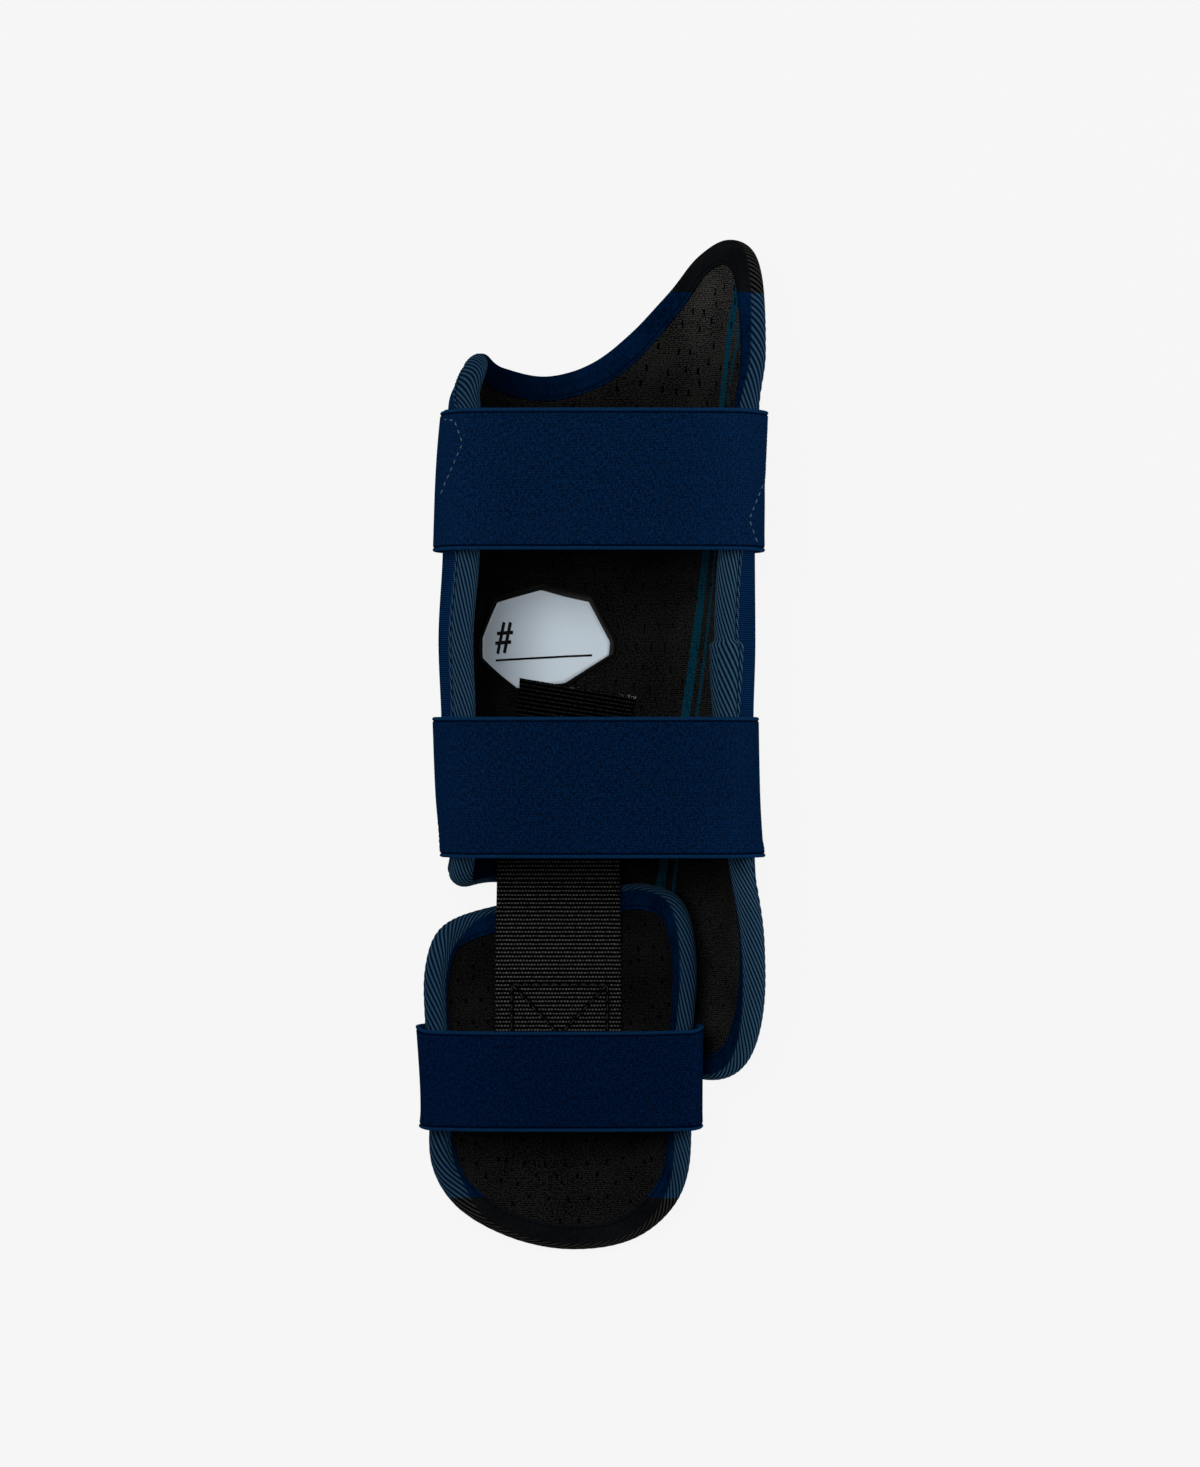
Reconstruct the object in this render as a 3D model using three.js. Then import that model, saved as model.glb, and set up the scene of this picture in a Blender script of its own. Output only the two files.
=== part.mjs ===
// Batter's leg guard: a curved shin guard and a smaller instep guard, joined by a webbing link.
// It lies on its front with the open, strapped side up.
// Millimetres. X runs across the shin, Y from foot to knee, Z from the surface it lies on to the straps.
// Each guard is a flat pattern rolled round the leg: girth is measured round its outer face from the
// front middle line, height along the leg, and depth from the outer face in towards the leg.

import * as THREE from "three";
import { mergeGeometries, mergeVertices } from "three/addons/utils/BufferGeometryUtils.js";

// Layers of a guard, from its outer face in towards the leg
const SHELL_THICK = 2.5;
const LAYER_GAP = 0.3;
const SHIN_LAYERS = {
  linerEdge: 7.3, // depth of the liner's face where it is sewn down under the binding
  liner: 10, // depth of the liner's face over the padded middle
  tape: 9.4, // depth of the binding's inner lap
};
const INSTEP_LAYERS = { linerEdge: 5.4, liner: 8.6, tape: 7.3 };
const PAD_RISE = [14, 26]; // distances from the rim where the padding starts and reaches its full depth
const RIM_TRIM = 2.1; // shell and liner stop this far inside the binding's rim

// Binding tape folded over the rim, as inward distance from the rim and depth
const TAPE_LAP = 11;
const TAPE_ROUND = 1.6;
const TAPE_THICK = 1.3;
const TAPE_OUTER = -2.15;

// Elastic straps
const STRAP_THICK = 1.8;
const STRAP_HUG = 0.45; // distance from the shell's outer face
const STRAP_STANDOFF = 2.6; // distance where it passes over the binding's outer lap
const STRAP_RISE = [0.2, 0.06]; // angles before that lap, in radians, between which it rises to it
const LIP_TURN = 6; // radius at which a strap turns over a lip
const STRAP_BULGE = 2.5; // how far its middle stands above a straight line between the lips
const ARC_STEPS = 10;
const TURN_STEPS = 4;
const SPAN_STEPS = 4;
const STRAP_ROWS = 2;

// Webbing link between the two guards
const WEBBING_THICK = 1.6;
const WEBBING_CLEAR = 0.6; // distance from the liner's face
const WEBBING_OVER_LABEL = 1; // further rise where its upper end lies on the label
const WEBBING_ON_LABEL = [6, 22]; // heights between which it makes that rise
const WEBBING_TOP = 25;
const WEBBING_BOTTOM = -155;
const WEBBING_CLIMB = [-38, -64]; // heights between which it climbs from the shin guard to the instep guard
const WEBBING_END_SKEW = 0.165; // slope of its cut upper end
const WEBBING_SKEWED = 60; // length over which the skew fades out
const WEBBING_GRID = { columns: 6, rows: 24 };

// Number label on the liner
const LABEL_DEPTH = 10.6;
const LABEL_THICK = 0.5;
const LABEL_GRID = { columns: 8, rows: 6 };

// Middle of the footprint, which becomes the origin
const FOOTPRINT_X = -0.98;
const FOOTPRINT_Y = -0.74;

// Fineness of the modelled outlines
const OUTLINE_SUBSTEPS = 6; // places between two neighbouring points of an outline
const RIM_SAMPLES = 400; // places round a rim from which distances to it are measured
const LIP_SEARCH_STEPS = 24;
const WELD_DISTANCE = 1e-3;

// Shin guard: its flat front's middle line and half width
const SHIN_FRONT = { middle: 3.4, flat: 16 };
const SHIN_GRID = { columns: 28, rows: 18 };

// How far the shin guard's sides reach across and how far its front lifts off the surface, by height
const SHIN_SECTIONS = [
  { height: -148, left: -57, right: 75.5, lift: 2.7 },
  { height: -84, left: -57, right: 72.5, lift: 2.5 },
  { height: -52, left: -62.4, right: 69.8, lift: 2.2 },
  { height: -20, left: -66, right: 68.9, lift: 0 },
  { height: 30, left: -67.2, right: 69, lift: 0 },
  { height: 95, left: -66.8, right: 69.6, lift: 0 },
  { height: 148, left: -63, right: 71, lift: 2.3 },
  { height: 170, left: -53.5, right: 73.2, lift: 3.4 },
  { height: 222, left: -46, right: 74, lift: 5.5 },
];

// Shin guard's flat pattern, clockwise from the left lip's upper corner
const SHIN_PATTERN = [
  { girth: -114, height: 157, corner: "topLeft" },
  { girth: -80, height: 170 },
  { girth: -50, height: 165 },
  { girth: -24, height: 162 },
  { girth: -3, height: 168.5 },
  { girth: 30, height: 197.5 },
  { girth: 47, height: 214 },
  { girth: 64, height: 220.5 },
  { girth: 80, height: 216.5 },
  { girth: 91, height: 205, corner: "topRight" },
  { girth: 101, height: 181 },
  { girth: 112, height: 148 },
  { girth: 123, height: 105 },
  { girth: 125.5, height: 50 },
  { girth: 125.5, height: -5 },
  { girth: 117, height: -50 },
  { girth: 96.5, height: -110 },
  { girth: 74, height: -140, corner: "bottomRight" },
  { girth: 55, height: -147 },
  { girth: 35, height: -142 },
  { girth: 6, height: -100 },
  { girth: -14, height: -73 },
  { girth: -45, height: -61 },
  { girth: -96, height: -60.5, corner: "bottomLeft" },
  { girth: -116, height: -49 },
  { girth: -133, height: 20 },
  { girth: -133.5, height: 85 },
  { girth: -125, height: 142 },
];

// Instep guard: it lies on the surface near its toe end and rides up over the shin guard's lower edge
const INSTEP_FRONT = { middle: -14.8, flat: 20 };
const INSTEP_GRID = { columns: 18, rows: 12 };
const INSTEP_SECTIONS = [
  { height: -224, left: -74.5, right: 44.3, lift: 4.1 },
  { height: -209, left: -74.8, right: 44.3, lift: 2.7 },
  { height: -188, left: -75, right: 44.2, lift: 0 },
  { height: -160, left: -71.4, right: 43, lift: 1.2 },
  { height: -130, left: -72.8, right: 43.2, lift: 6.2 },
  { height: -100, left: -76, right: 46.3, lift: 11.8 },
  { height: -60, left: -77, right: 47.5, lift: 18.5 },
];

const INSTEP_PATTERN = [
  { girth: -59.5, height: -80.5, corner: "topLeft" },
  { girth: -28, height: -70.5 },
  { girth: 5, height: -66.5 },
  { girth: 38, height: -61 },
  { girth: 60, height: -68, corner: "topRight" },
  { girth: 71, height: -88 },
  { girth: 73.5, height: -120 },
  { girth: 72.5, height: -155 },
  { girth: 67.5, height: -185 },
  { girth: 57, height: -201, corner: "bottomRight" },
  { girth: 33, height: -217.5 },
  { girth: 3, height: -222 },
  { girth: -26, height: -215.5 },
  { girth: -53, height: -200, corner: "bottomLeft" },
  { girth: -68, height: -181 },
  { girth: -75.5, height: -150 },
  { girth: -74.5, height: -118 },
  { girth: -70.5, height: -96 },
];

// Faceted number label: corners of its backing on the shin guard's pattern
const LABEL_PATTERN = [
  { girth: -58, height: 64.5, corner: "topLeft" },
  { girth: -28, height: 70.5 },
  { girth: -4, height: 65, corner: "topRight" },
  { girth: 6.5, height: 46 },
  { girth: 6, height: 39.5, corner: "bottomRight" },
  { girth: -14, height: 26 },
  { girth: -42, height: 22.5, corner: "bottomLeft" },
  { girth: -72, height: 38 },
  { girth: -72, height: 45.5 },
];

// Webbing link: its middle line and width
const WEBBING_LINE = [
  { height: -155, x: -15.7, width: 55 },
  { height: -108, x: -15.7, width: 55 },
  { height: -50, x: -15.6, width: 53.4 },
  { height: 25, x: -7.2, width: 51 },
];

// Straps: heights of their edges, degrees round the bend where they are sewn on and where they turn over
// a lip, and how far each side stands slack of the shell
const STRAPS = {
  upper_calf_strap: {
    guard: "shin",
    low: 82.5,
    high: 143,
    leftTail: 48,
    rightTail: 48,
    turn: 129,
    leftSlack: { low: 0.8, high: 0.8 },
    rightSlack: { low: 2.2, high: 0.4 },
  },
  lower_calf_strap: {
    guard: "shin",
    low: -48.5,
    high: 12,
    leftTail: 48,
    rightTail: 48,
    turn: 129,
    leftSlack: { low: 0.8, high: 0.8 },
    rightSlack: { low: 1.7, high: 0 },
  },
  ankle_strap: {
    guard: "instep",
    low: -168,
    high: -124.5,
    leftTail: 35,
    rightTail: 66, // stops above the shin guard's lower lobe
    turn: 86,
    leftSlack: { low: 0, high: 0 },
    rightSlack: { low: 0, high: 0 },
  },
};

// A value that follows one column of a table smoothly by height and never swings past its rows
function track(rows, column) {
  const step = rows.slice(1).map((row, i) => row.height - rows[i].height);
  const rise = rows.slice(1).map((row, i) => (row[column] - rows[i][column]) / step[i]);
  const slope = rows.map((_, i) => {
    const before = rise[i - 1] ?? rise[i];
    const after = rise[i] ?? rise[i - 1];
    return before * after > 0 ? (2 * before * after) / (before + after) : 0;
  });
  return (height) => {
    const i = Math.max(0, Math.min(step.length - 1, rows.findLastIndex((row) => row.height <= height)));
    const t = THREE.MathUtils.clamp((height - rows[i].height) / step[i], 0, 1);
    const start = rows[i][column];
    const end = rows[i + 1][column];
    const ease = t * t * (3 - 2 * t);
    const lead = t * (1 - t) * ((1 - t) * slope[i] - t * slope[i + 1]) * step[i];
    return start + (end - start) * ease + lead;
  };
}

// A flat front with a round bend to either side, from which every layer of one guard is rolled
class LegForm {
  constructor({ middle, flat }, sections) {
    this.middle = middle;
    this.flat = flat;
    this.left = track(sections, "left");
    this.right = track(sections, "right");
    this.lift = track(sections, "lift");
  }

  bend(side, height) {
    const reach = side < 0 ? this.middle - this.left(height) : this.right(height) - this.middle;
    return reach - this.flat;
  }

  place(girth, height, depth) {
    const side = Math.sign(girth);
    const lift = this.lift(height);
    if (Math.abs(girth) <= this.flat) return new THREE.Vector3(this.middle + girth, height, lift + depth);
    const bend = this.bend(side, height);
    const angle = (Math.abs(girth) - this.flat) / bend;
    const across = this.flat + (bend - depth) * Math.sin(angle);
    const up = lift + bend - (bend - depth) * Math.cos(angle);
    return new THREE.Vector3(this.middle + side * across, height, up);
  }

  // Height above the surface of the face at one depth, straight above a place on it
  faceAt(x, height, depth) {
    const past = Math.abs(x - this.middle) - this.flat;
    const lift = this.lift(height);
    if (past <= 0) return lift + depth;
    const bend = this.bend(x - this.middle, height);
    return lift + bend - Math.sqrt(Math.max(0, (bend - depth) ** 2 - past ** 2));
  }
}

// A closed outline on the flat pattern, with four corners that part it into edges
class Pattern {
  constructor(points, corners, type = "centripetal") {
    this.points = points;
    this.corners = corners;
    this.type = type;
    this.top = this.edge(corners.topLeft, corners.topRight);
    this.right = this.edge(corners.bottomRight, corners.topRight);
    this.bottom = this.edge(corners.bottomLeft, corners.bottomRight);
    this.left = this.edge(corners.bottomLeft, corners.topLeft);
  }

  static fromRows(rows, type) {
    const points = rows.map((row) => new THREE.Vector3(row.girth, row.height, 0));
    const corners = {};
    rows.forEach((row, i) => {
      if (row.corner) corners[row.corner] = i;
    });
    return new Pattern(points, corners, type);
  }

  // The stretch between two corners, clockwise for the top and left edges and the other way for the rest
  edge(from, to) {
    const count = this.points.length;
    const forward = (to - from + count) % count;
    const backward = (from - to + count) % count;
    const direction = forward <= backward ? 1 : -1;
    const rows = Math.min(forward, backward);
    if (this.type === "straight") {
      const path = new THREE.CurvePath();
      for (let i = 0; i < rows; i++) {
        const start = this.points[(from + direction * i + count) % count];
        const end = this.points[(from + direction * (i + 1) + count) % count];
        path.add(new THREE.LineCurve3(start, end));
      }
      return path;
    }
    const rim = new THREE.CatmullRomCurve3(this.points, true, this.type);
    const steps = rows * OUTLINE_SUBSTEPS;
    const stretch = Array.from({ length: steps + 1 }, (_, i) => {
      const at = (from + (direction * i) / OUTLINE_SUBSTEPS + count) % count;
      return rim.getPoint(at / count);
    });
    return new THREE.CatmullRomCurve3(stretch);
  }

  // The same outline drawn in by a small distance
  inset(distance) {
    const rim = new THREE.CatmullRomCurve3(this.points, true, this.type);
    const count = this.points.length * OUTLINE_SUBSTEPS;
    const points = Array.from({ length: count }, (_, i) => {
      const tangent = rim.getTangent(i / count);
      const inward = new THREE.Vector3(tangent.y, -tangent.x, 0);
      return rim.getPoint(i / count).addScaledVector(inward, distance);
    });
    const corners = Object.fromEntries(
      Object.entries(this.corners).map(([name, i]) => [name, i * OUTLINE_SUBSTEPS]),
    );
    return new Pattern(points, corners);
  }

  // The place inside the outline at shares u across and v up
  spot(u, v) {
    const low = this.bottom.getPointAt(u);
    const high = this.top.getPointAt(u);
    const near = this.left.getPointAt(v);
    const far = this.right.getPointAt(v);
    const ruled = low.multiplyScalar(1 - v).addScaledVector(high, v);
    ruled.addScaledVector(near, 1 - u).addScaledVector(far, u);
    const ends = [
      [this.bottom.getPointAt(0), (1 - u) * (1 - v)],
      [this.bottom.getPointAt(1), u * (1 - v)],
      [this.top.getPointAt(0), (1 - u) * v],
      [this.top.getPointAt(1), u * v],
    ];
    for (const [corner, share] of ends) ruled.addScaledVector(corner, -share);
    return ruled;
  }

  // Places round the rim, each with the direction into the pattern, anticlockwise as the leg sees it
  rim(columns, rows) {
    const walk = (edge, steps, along) =>
      Array.from({ length: steps }, (_, i) => {
        const share = graded(along > 0 ? i / steps : 1 - i / steps);
        const tangent = edge.getTangentAt(share).multiplyScalar(along);
        return { at: edge.getPointAt(share), inward: new THREE.Vector3(-tangent.y, tangent.x, 0) };
      });
    return [
      ...walk(this.bottom, columns, 1),
      ...walk(this.right, rows, 1),
      ...walk(this.top, columns, -1),
      ...walk(this.left, rows, -1),
    ];
  }

  rimDistance(point) {
    this.fineRim ??= new THREE.CatmullRomCurve3(this.points, true, this.type).getSpacedPoints(RIM_SAMPLES);
    return Math.min(...this.fineRim.map((at) => at.distanceTo(point)));
  }
}

// Steps that crowd gently towards both ends
function graded(t) {
  return 0.5 * t + 0.25 * (1 - Math.cos(Math.PI * t));
}

// Moves every vertex of a geometry
function reshape(geometry, move) {
  const position = geometry.getAttribute("position");
  const uv = geometry.getAttribute("uv");
  for (let i = 0; i < position.count; i++) {
    const from = new THREE.Vector3().fromBufferAttribute(position, i);
    const to = move(from, uv.getX(i), uv.getY(i));
    position.setXYZ(i, to.x, to.y, to.z);
  }
  return geometry;
}

// Joins a geometry's edges where they meet, so that it is one closed body
function close(geometry) {
  geometry.deleteAttribute("normal");
  geometry.deleteAttribute("uv");
  const closed = mergeVertices(geometry, WELD_DISTANCE);
  closed.computeVertexNormals();
  return closed;
}

// A wall bent so that its shares across, up and through go where place() says: two faces and a rim strip
function bentWall(columns, rows, place) {
  const face = new THREE.PlaneGeometry(1, 1, columns, rows);
  const back = new THREE.PlaneGeometry(1, 1, rows, columns);
  const around = 2 * (columns + rows);
  const strip = new THREE.PlaneGeometry(1, 1, around, 1);
  const rim = [];
  for (let i = 0; i < columns; i++) rim.push([i / columns, 0]);
  for (let i = 0; i < rows; i++) rim.push([1, i / rows]);
  for (let i = 0; i < columns; i++) rim.push([1 - i / columns, 1]);
  for (let i = 0; i < rows; i++) rim.push([0, 1 - i / rows]);
  const share = (place, steps) => Math.round((place + 0.5) * steps) / steps;
  reshape(face, (from) => place(share(from.x, columns), share(from.y, rows), 1));
  reshape(back, (from) => place(share(from.y, columns), share(from.x, rows), 0));
  reshape(strip, (from) => place(...rim[Math.round((from.x + 0.5) * around) % around], share(from.y, 1)));
  return close(mergeGeometries([face, back, strip]));
}

function makeShell(form, pattern, columns, rows) {
  const cut = pattern.inset(RIM_TRIM);
  return bentWall(columns, rows, (u, v, w) => {
    const spot = cut.spot(graded(u), graded(v));
    return form.place(spot.x, spot.y, w * SHELL_THICK);
  });
}

function makeLiner(form, pattern, layers, columns, rows) {
  const cut = pattern.inset(RIM_TRIM);
  return bentWall(columns, rows, (u, v, w) => {
    const spot = cut.spot(graded(u), graded(v));
    const padded = THREE.MathUtils.smoothstep(pattern.rimDistance(spot), ...PAD_RISE);
    const face = THREE.MathUtils.lerp(layers.linerEdge, layers.liner, padded);
    return form.place(spot.x, spot.y, w > 0.5 ? face : SHELL_THICK + LAYER_GAP);
  });
}

function makeBinding(form, pattern, layers, columns, rows) {
  const fold = TAPE_ROUND;
  const face = layers.tape;
  const section = [
    { inward: 0, depth: face - fold },
    { inward: fold, depth: face },
    { inward: TAPE_LAP, depth: face },
    { inward: TAPE_LAP, depth: face - TAPE_THICK },
    { inward: TAPE_THICK, depth: face - TAPE_THICK },
    { inward: TAPE_THICK, depth: TAPE_OUTER + TAPE_THICK },
    { inward: TAPE_LAP, depth: TAPE_OUTER + TAPE_THICK },
    { inward: TAPE_LAP, depth: TAPE_OUTER },
    { inward: fold, depth: TAPE_OUTER },
    { inward: 0, depth: TAPE_OUTER + fold },
  ];
  const rim = pattern.rim(columns, rows);
  const ring = new THREE.TorusGeometry(2, 1, section.length, rim.length);
  reshape(ring, (_, along, round) => {
    const { at, inward } = rim[Math.round(along * rim.length) % rim.length];
    const corner = section[Math.round(round * section.length) % section.length];
    const spot = at.clone().addScaledVector(inward, corner.inward);
    return form.place(spot.x, spot.y, corner.depth);
  });
  return close(ring);
}

// The angle round a guard's bend at which its lip ends, by height
function lipAngle(guard, side, height) {
  const edge = side < 0 ? guard.pattern.left : guard.pattern.right;
  let low = 0;
  let high = 1;
  for (let i = 0; i < LIP_SEARCH_STEPS; i++) {
    const middle = (low + high) / 2;
    if (edge.getPointAt(middle).y < height) low = middle;
    else high = middle;
  }
  return (Math.abs(edge.getPointAt(low).x) - guard.form.flat) / guard.form.bend(side, height);
}

// A strap's line in the section at one height: up one side, over the lip, across and down the other side
function strapLine(strap, height, above) {
  const guard = GUARDS[strap.guard];
  const { form } = guard;
  const turn = THREE.MathUtils.degToRad(strap.turn);
  const climb = (side) => {
    const tail = THREE.MathUtils.degToRad(side < 0 ? strap.leftTail : strap.rightTail);
    const slack = side < 0 ? strap.leftSlack : strap.rightSlack;
    const loose = THREE.MathUtils.mapLinear(height, strap.low, strap.high, slack.low, slack.high);
    const bend = form.bend(side, height) + loose;
    const pivot = new THREE.Vector2(form.middle + side * form.flat, form.lift(height) + bend);
    const round = (centre, radius, angle) =>
      new THREE.Vector2(centre.x + side * radius * Math.sin(angle), centre.y - radius * Math.cos(angle));
    const lip = round(pivot, bend + STRAP_STANDOFF - LIP_TURN, turn);
    const points = [];
    const lap = lipAngle(guard, side, height) - TAPE_LAP / bend;
    for (let i = 0; i <= ARC_STEPS; i++) {
      const angle = THREE.MathUtils.lerp(tail, turn, i / ARC_STEPS);
      const overLap = THREE.MathUtils.smoothstep(angle, lap - STRAP_RISE[0], lap - STRAP_RISE[1]);
      const lift = THREE.MathUtils.lerp(STRAP_HUG, STRAP_STANDOFF, overLap);
      points.push(round(pivot, bend + lift + above, angle));
    }
    for (let i = 1; i <= TURN_STEPS; i++) {
      const angle = THREE.MathUtils.lerp(turn, Math.PI, i / TURN_STEPS);
      points.push(round(lip, LIP_TURN + above, angle));
    }
    return points;
  };
  const left = climb(-1);
  const right = climb(1).reverse();
  const span = [];
  for (let i = 1; i < SPAN_STEPS; i++) {
    const share = i / SPAN_STEPS;
    const point = left.at(-1).clone().lerp(right[0], share);
    point.y += STRAP_BULGE * 4 * share * (1 - share);
    span.push(point);
  }
  return [...left, ...span, ...right];
}

function makeStrap(strap) {
  const columns = 2 * (ARC_STEPS + TURN_STEPS) + SPAN_STEPS;
  return bentWall(columns, STRAP_ROWS, (u, v, w) => {
    const height = THREE.MathUtils.lerp(strap.low, strap.high, v);
    const line = strapLine(strap, height, w * STRAP_THICK);
    const point = line[Math.round(u * columns)];
    return new THREE.Vector3(point.x, height, point.y);
  });
}

function makeWebbing(shin, instep) {
  const line = track(WEBBING_LINE, "x");
  const width = track(WEBBING_LINE, "width");
  const { lerp, smoothstep } = THREE.MathUtils;
  return bentWall(WEBBING_GRID.columns, WEBBING_GRID.rows, (u, v, w) => {
    const straight = lerp(WEBBING_BOTTOM, WEBBING_TOP, v);
    const across = (u - 0.5) * width(straight);
    const skewed = smoothstep(straight, WEBBING_TOP - WEBBING_SKEWED, WEBBING_TOP);
    const height = straight - across * WEBBING_END_SKEW * skewed;
    const x = line(height) + across;
    const rise = WEBBING_CLEAR + WEBBING_OVER_LABEL * smoothstep(height, ...WEBBING_ON_LABEL);
    const onShin = shin.faceAt(x, height, SHIN_LAYERS.liner + rise);
    const onInstep = instep.faceAt(x, height, INSTEP_LAYERS.liner + WEBBING_CLEAR);
    const climbed = 1 - smoothstep(height, WEBBING_CLIMB[1], WEBBING_CLIMB[0]);
    return new THREE.Vector3(x, height, lerp(onShin, onInstep, climbed) + w * WEBBING_THICK);
  });
}

function makeLabel(form) {
  const pattern = Pattern.fromRows(LABEL_PATTERN, "straight");
  return bentWall(LABEL_GRID.columns, LABEL_GRID.rows, (u, v, w) => {
    const spot = pattern.spot(u, v);
    return form.place(spot.x, spot.y, LABEL_DEPTH + w * LABEL_THICK);
  });
}

const finish = (color, roughness) => new THREE.MeshStandardMaterial({ color, roughness, metalness: 0 });
const FINISHES = {
  shell: finish(0x0a2040, 0.6),
  liner: finish(0x141414, 0.95),
  binding: finish(0x1c3046, 0.85),
  elastic: finish(0x051a33, 0.9),
  webbing: finish(0x161616, 0.7),
  label: finish(0xa8b3bc, 0.45),
};

const shin = new LegForm(SHIN_FRONT, SHIN_SECTIONS);
const instep = new LegForm(INSTEP_FRONT, INSTEP_SECTIONS);
const shinPattern = Pattern.fromRows(SHIN_PATTERN);
const instepPattern = Pattern.fromRows(INSTEP_PATTERN);

const GUARDS = {
  shin: { form: shin, pattern: shinPattern, layers: SHIN_LAYERS, ...SHIN_GRID },
  instep: { form: instep, pattern: instepPattern, layers: INSTEP_LAYERS, ...INSTEP_GRID },
};
const legGuard = new THREE.Group();
legGuard.position.set(-FOOTPRINT_X, -FOOTPRINT_Y, 0);

function add(name, geometry, material) {
  const mesh = new THREE.Mesh(geometry, material);
  mesh.name = name;
  legGuard.add(mesh);
}

for (const [name, { form, pattern, layers, columns, rows }] of Object.entries(GUARDS)) {
  add(`${name}_shell`, makeShell(form, pattern, columns, rows), FINISHES.shell);
  add(`${name}_liner`, makeLiner(form, pattern, layers, columns, rows), FINISHES.liner);
  add(`${name}_binding`, makeBinding(form, pattern, layers, columns, rows), FINISHES.binding);
}
for (const [name, strap] of Object.entries(STRAPS)) add(name, makeStrap(strap), FINISHES.elastic);
add("link_webbing", makeWebbing(shin, instep), FINISHES.webbing);
add("number_label", makeLabel(shin), FINISHES.label);

export default legGuard;
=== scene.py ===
"""Batter's leg guard: a curved shin guard and a smaller instep guard, joined by a webbing link.

It lies on its front with the open, strapped side up. Tables are in millimetres on each guard's flat
pattern: girth is measured round its outer face from the front middle line, height along the leg, and
depth from the outer face in towards the leg. The model is in metres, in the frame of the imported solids.
"""
import bisect
import math
import random
from collections import namedtuple

import bmesh
import bpy
from mathutils import Matrix, Vector, kdtree
from mathutils.geometry import intersect_point_line


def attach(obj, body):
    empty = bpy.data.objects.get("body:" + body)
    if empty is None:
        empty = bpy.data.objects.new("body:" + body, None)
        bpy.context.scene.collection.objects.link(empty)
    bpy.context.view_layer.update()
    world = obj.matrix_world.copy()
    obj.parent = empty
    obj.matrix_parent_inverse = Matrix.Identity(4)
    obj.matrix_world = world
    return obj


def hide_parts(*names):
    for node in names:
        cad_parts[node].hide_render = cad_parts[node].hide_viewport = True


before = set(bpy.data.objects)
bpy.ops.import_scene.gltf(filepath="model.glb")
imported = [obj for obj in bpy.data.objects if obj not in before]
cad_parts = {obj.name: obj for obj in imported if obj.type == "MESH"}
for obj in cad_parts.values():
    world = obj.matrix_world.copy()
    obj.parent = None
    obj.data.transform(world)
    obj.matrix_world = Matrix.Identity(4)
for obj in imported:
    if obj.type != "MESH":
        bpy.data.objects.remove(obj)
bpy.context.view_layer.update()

MM = 0.001
FOOTPRINT = Vector((-0.98, -0.74, 0.0))
BODY = "root"
CLOTH_MAP = "cloth"
WELD = 0.002

# Tables
Section = namedtuple("Section", "height left right lift")
Point = namedtuple("Point", "girth height corner", defaults=(None,))
Layers = namedtuple("Layers", "liner_edge liner tape")
Guard = namedtuple("Guard", "name form pattern layers grid")
Slits = namedtuple("Slits", "wide tall shown more")
PaintedLight = namedtuple("PaintedLight", "base side side_past top top_above")
Tone = namedtuple("Tone", "base right top lap")
Stretch = namedtuple("Stretch", "height x width")
Strap = namedtuple("Strap", "guard low high left_tail right_tail turn left_slack right_slack flare")
StrapRow = namedtuple("StrapRow", "across above")
TapeRow = namedtuple("TapeRow", "inward depth out across")
WebbingRow = namedtuple("WebbingRow", "share above woven")
Stroke = namedtuple("Stroke", "start end width")
Stitch = namedtuple("Stitch", "length gap thick lift")
Box = namedtuple("Box", "left right low high")
Dye = namedtuple("Dye", "deep pale")
Surface = namedtuple("Surface", "blur detail rough_low rough_high bump strength")
Softbox = namedtuple("Softbox", "name place size energy")

# Layers of a guard, from its outer face in towards the leg
SHELL_THICK = 2.5
SHELL_FINER = 2
LAYER_GAP = 0.3
SHIN_LAYERS = Layers(liner_edge=7.3, liner=10, tape=9.4)
INSTEP_LAYERS = Layers(liner_edge=5.4, liner=8.6, tape=7.3)
PAD_RISE = (14, 26)
RIM_TRIM = 2.1

# Shin guard
SHIN_MIDDLE = 3.4
SHIN_FLAT = 16
SHIN_SECTIONS = [
    Section(-148, -57, 75.5, 2.7),
    Section(-84, -57, 72.5, 2.5),
    Section(-52, -62.4, 69.8, 2.2),
    Section(-20, -65.4, 68.9, 0),
    Section(12, -66.2, 69.2, 0),
    Section(45, -67.4, 70.0, 0),
    Section(84, -65.6, 69.8, 0),
    Section(110, -65.3, 70.5, 0),
    Section(148, -63, 71, 2.3),
    Section(170, -53.5, 73.2, 3.4),
    Section(222, -46, 74, 5.5),
]
SHIN_PATTERN = [
    Point(-113, 157.2, "top_left"),
    Point(-80, 170),
    Point(-50, 165),
    Point(-24, 162),
    Point(-3, 168.5),
    Point(30, 197.5),
    Point(47, 214),
    Point(64, 220.5),
    Point(80, 216.5),
    Point(91, 205, "top_right"),
    Point(101, 181),
    Point(112, 148),
    Point(124, 105),
    Point(132.6, 50),
    Point(127, -5),
    Point(117, -50),
    Point(96.5, -110),
    Point(74, -140, "bottom_right"),
    Point(55, -147),
    Point(35, -142),
    Point(6, -100),
    Point(-14, -73),
    Point(-45, -61),
    Point(-96, -60.5, "bottom_left"),
    Point(-116, -49),
    Point(-133, 20),
    Point(-133.5, 85),
    Point(-127, 142.5),
]

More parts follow.
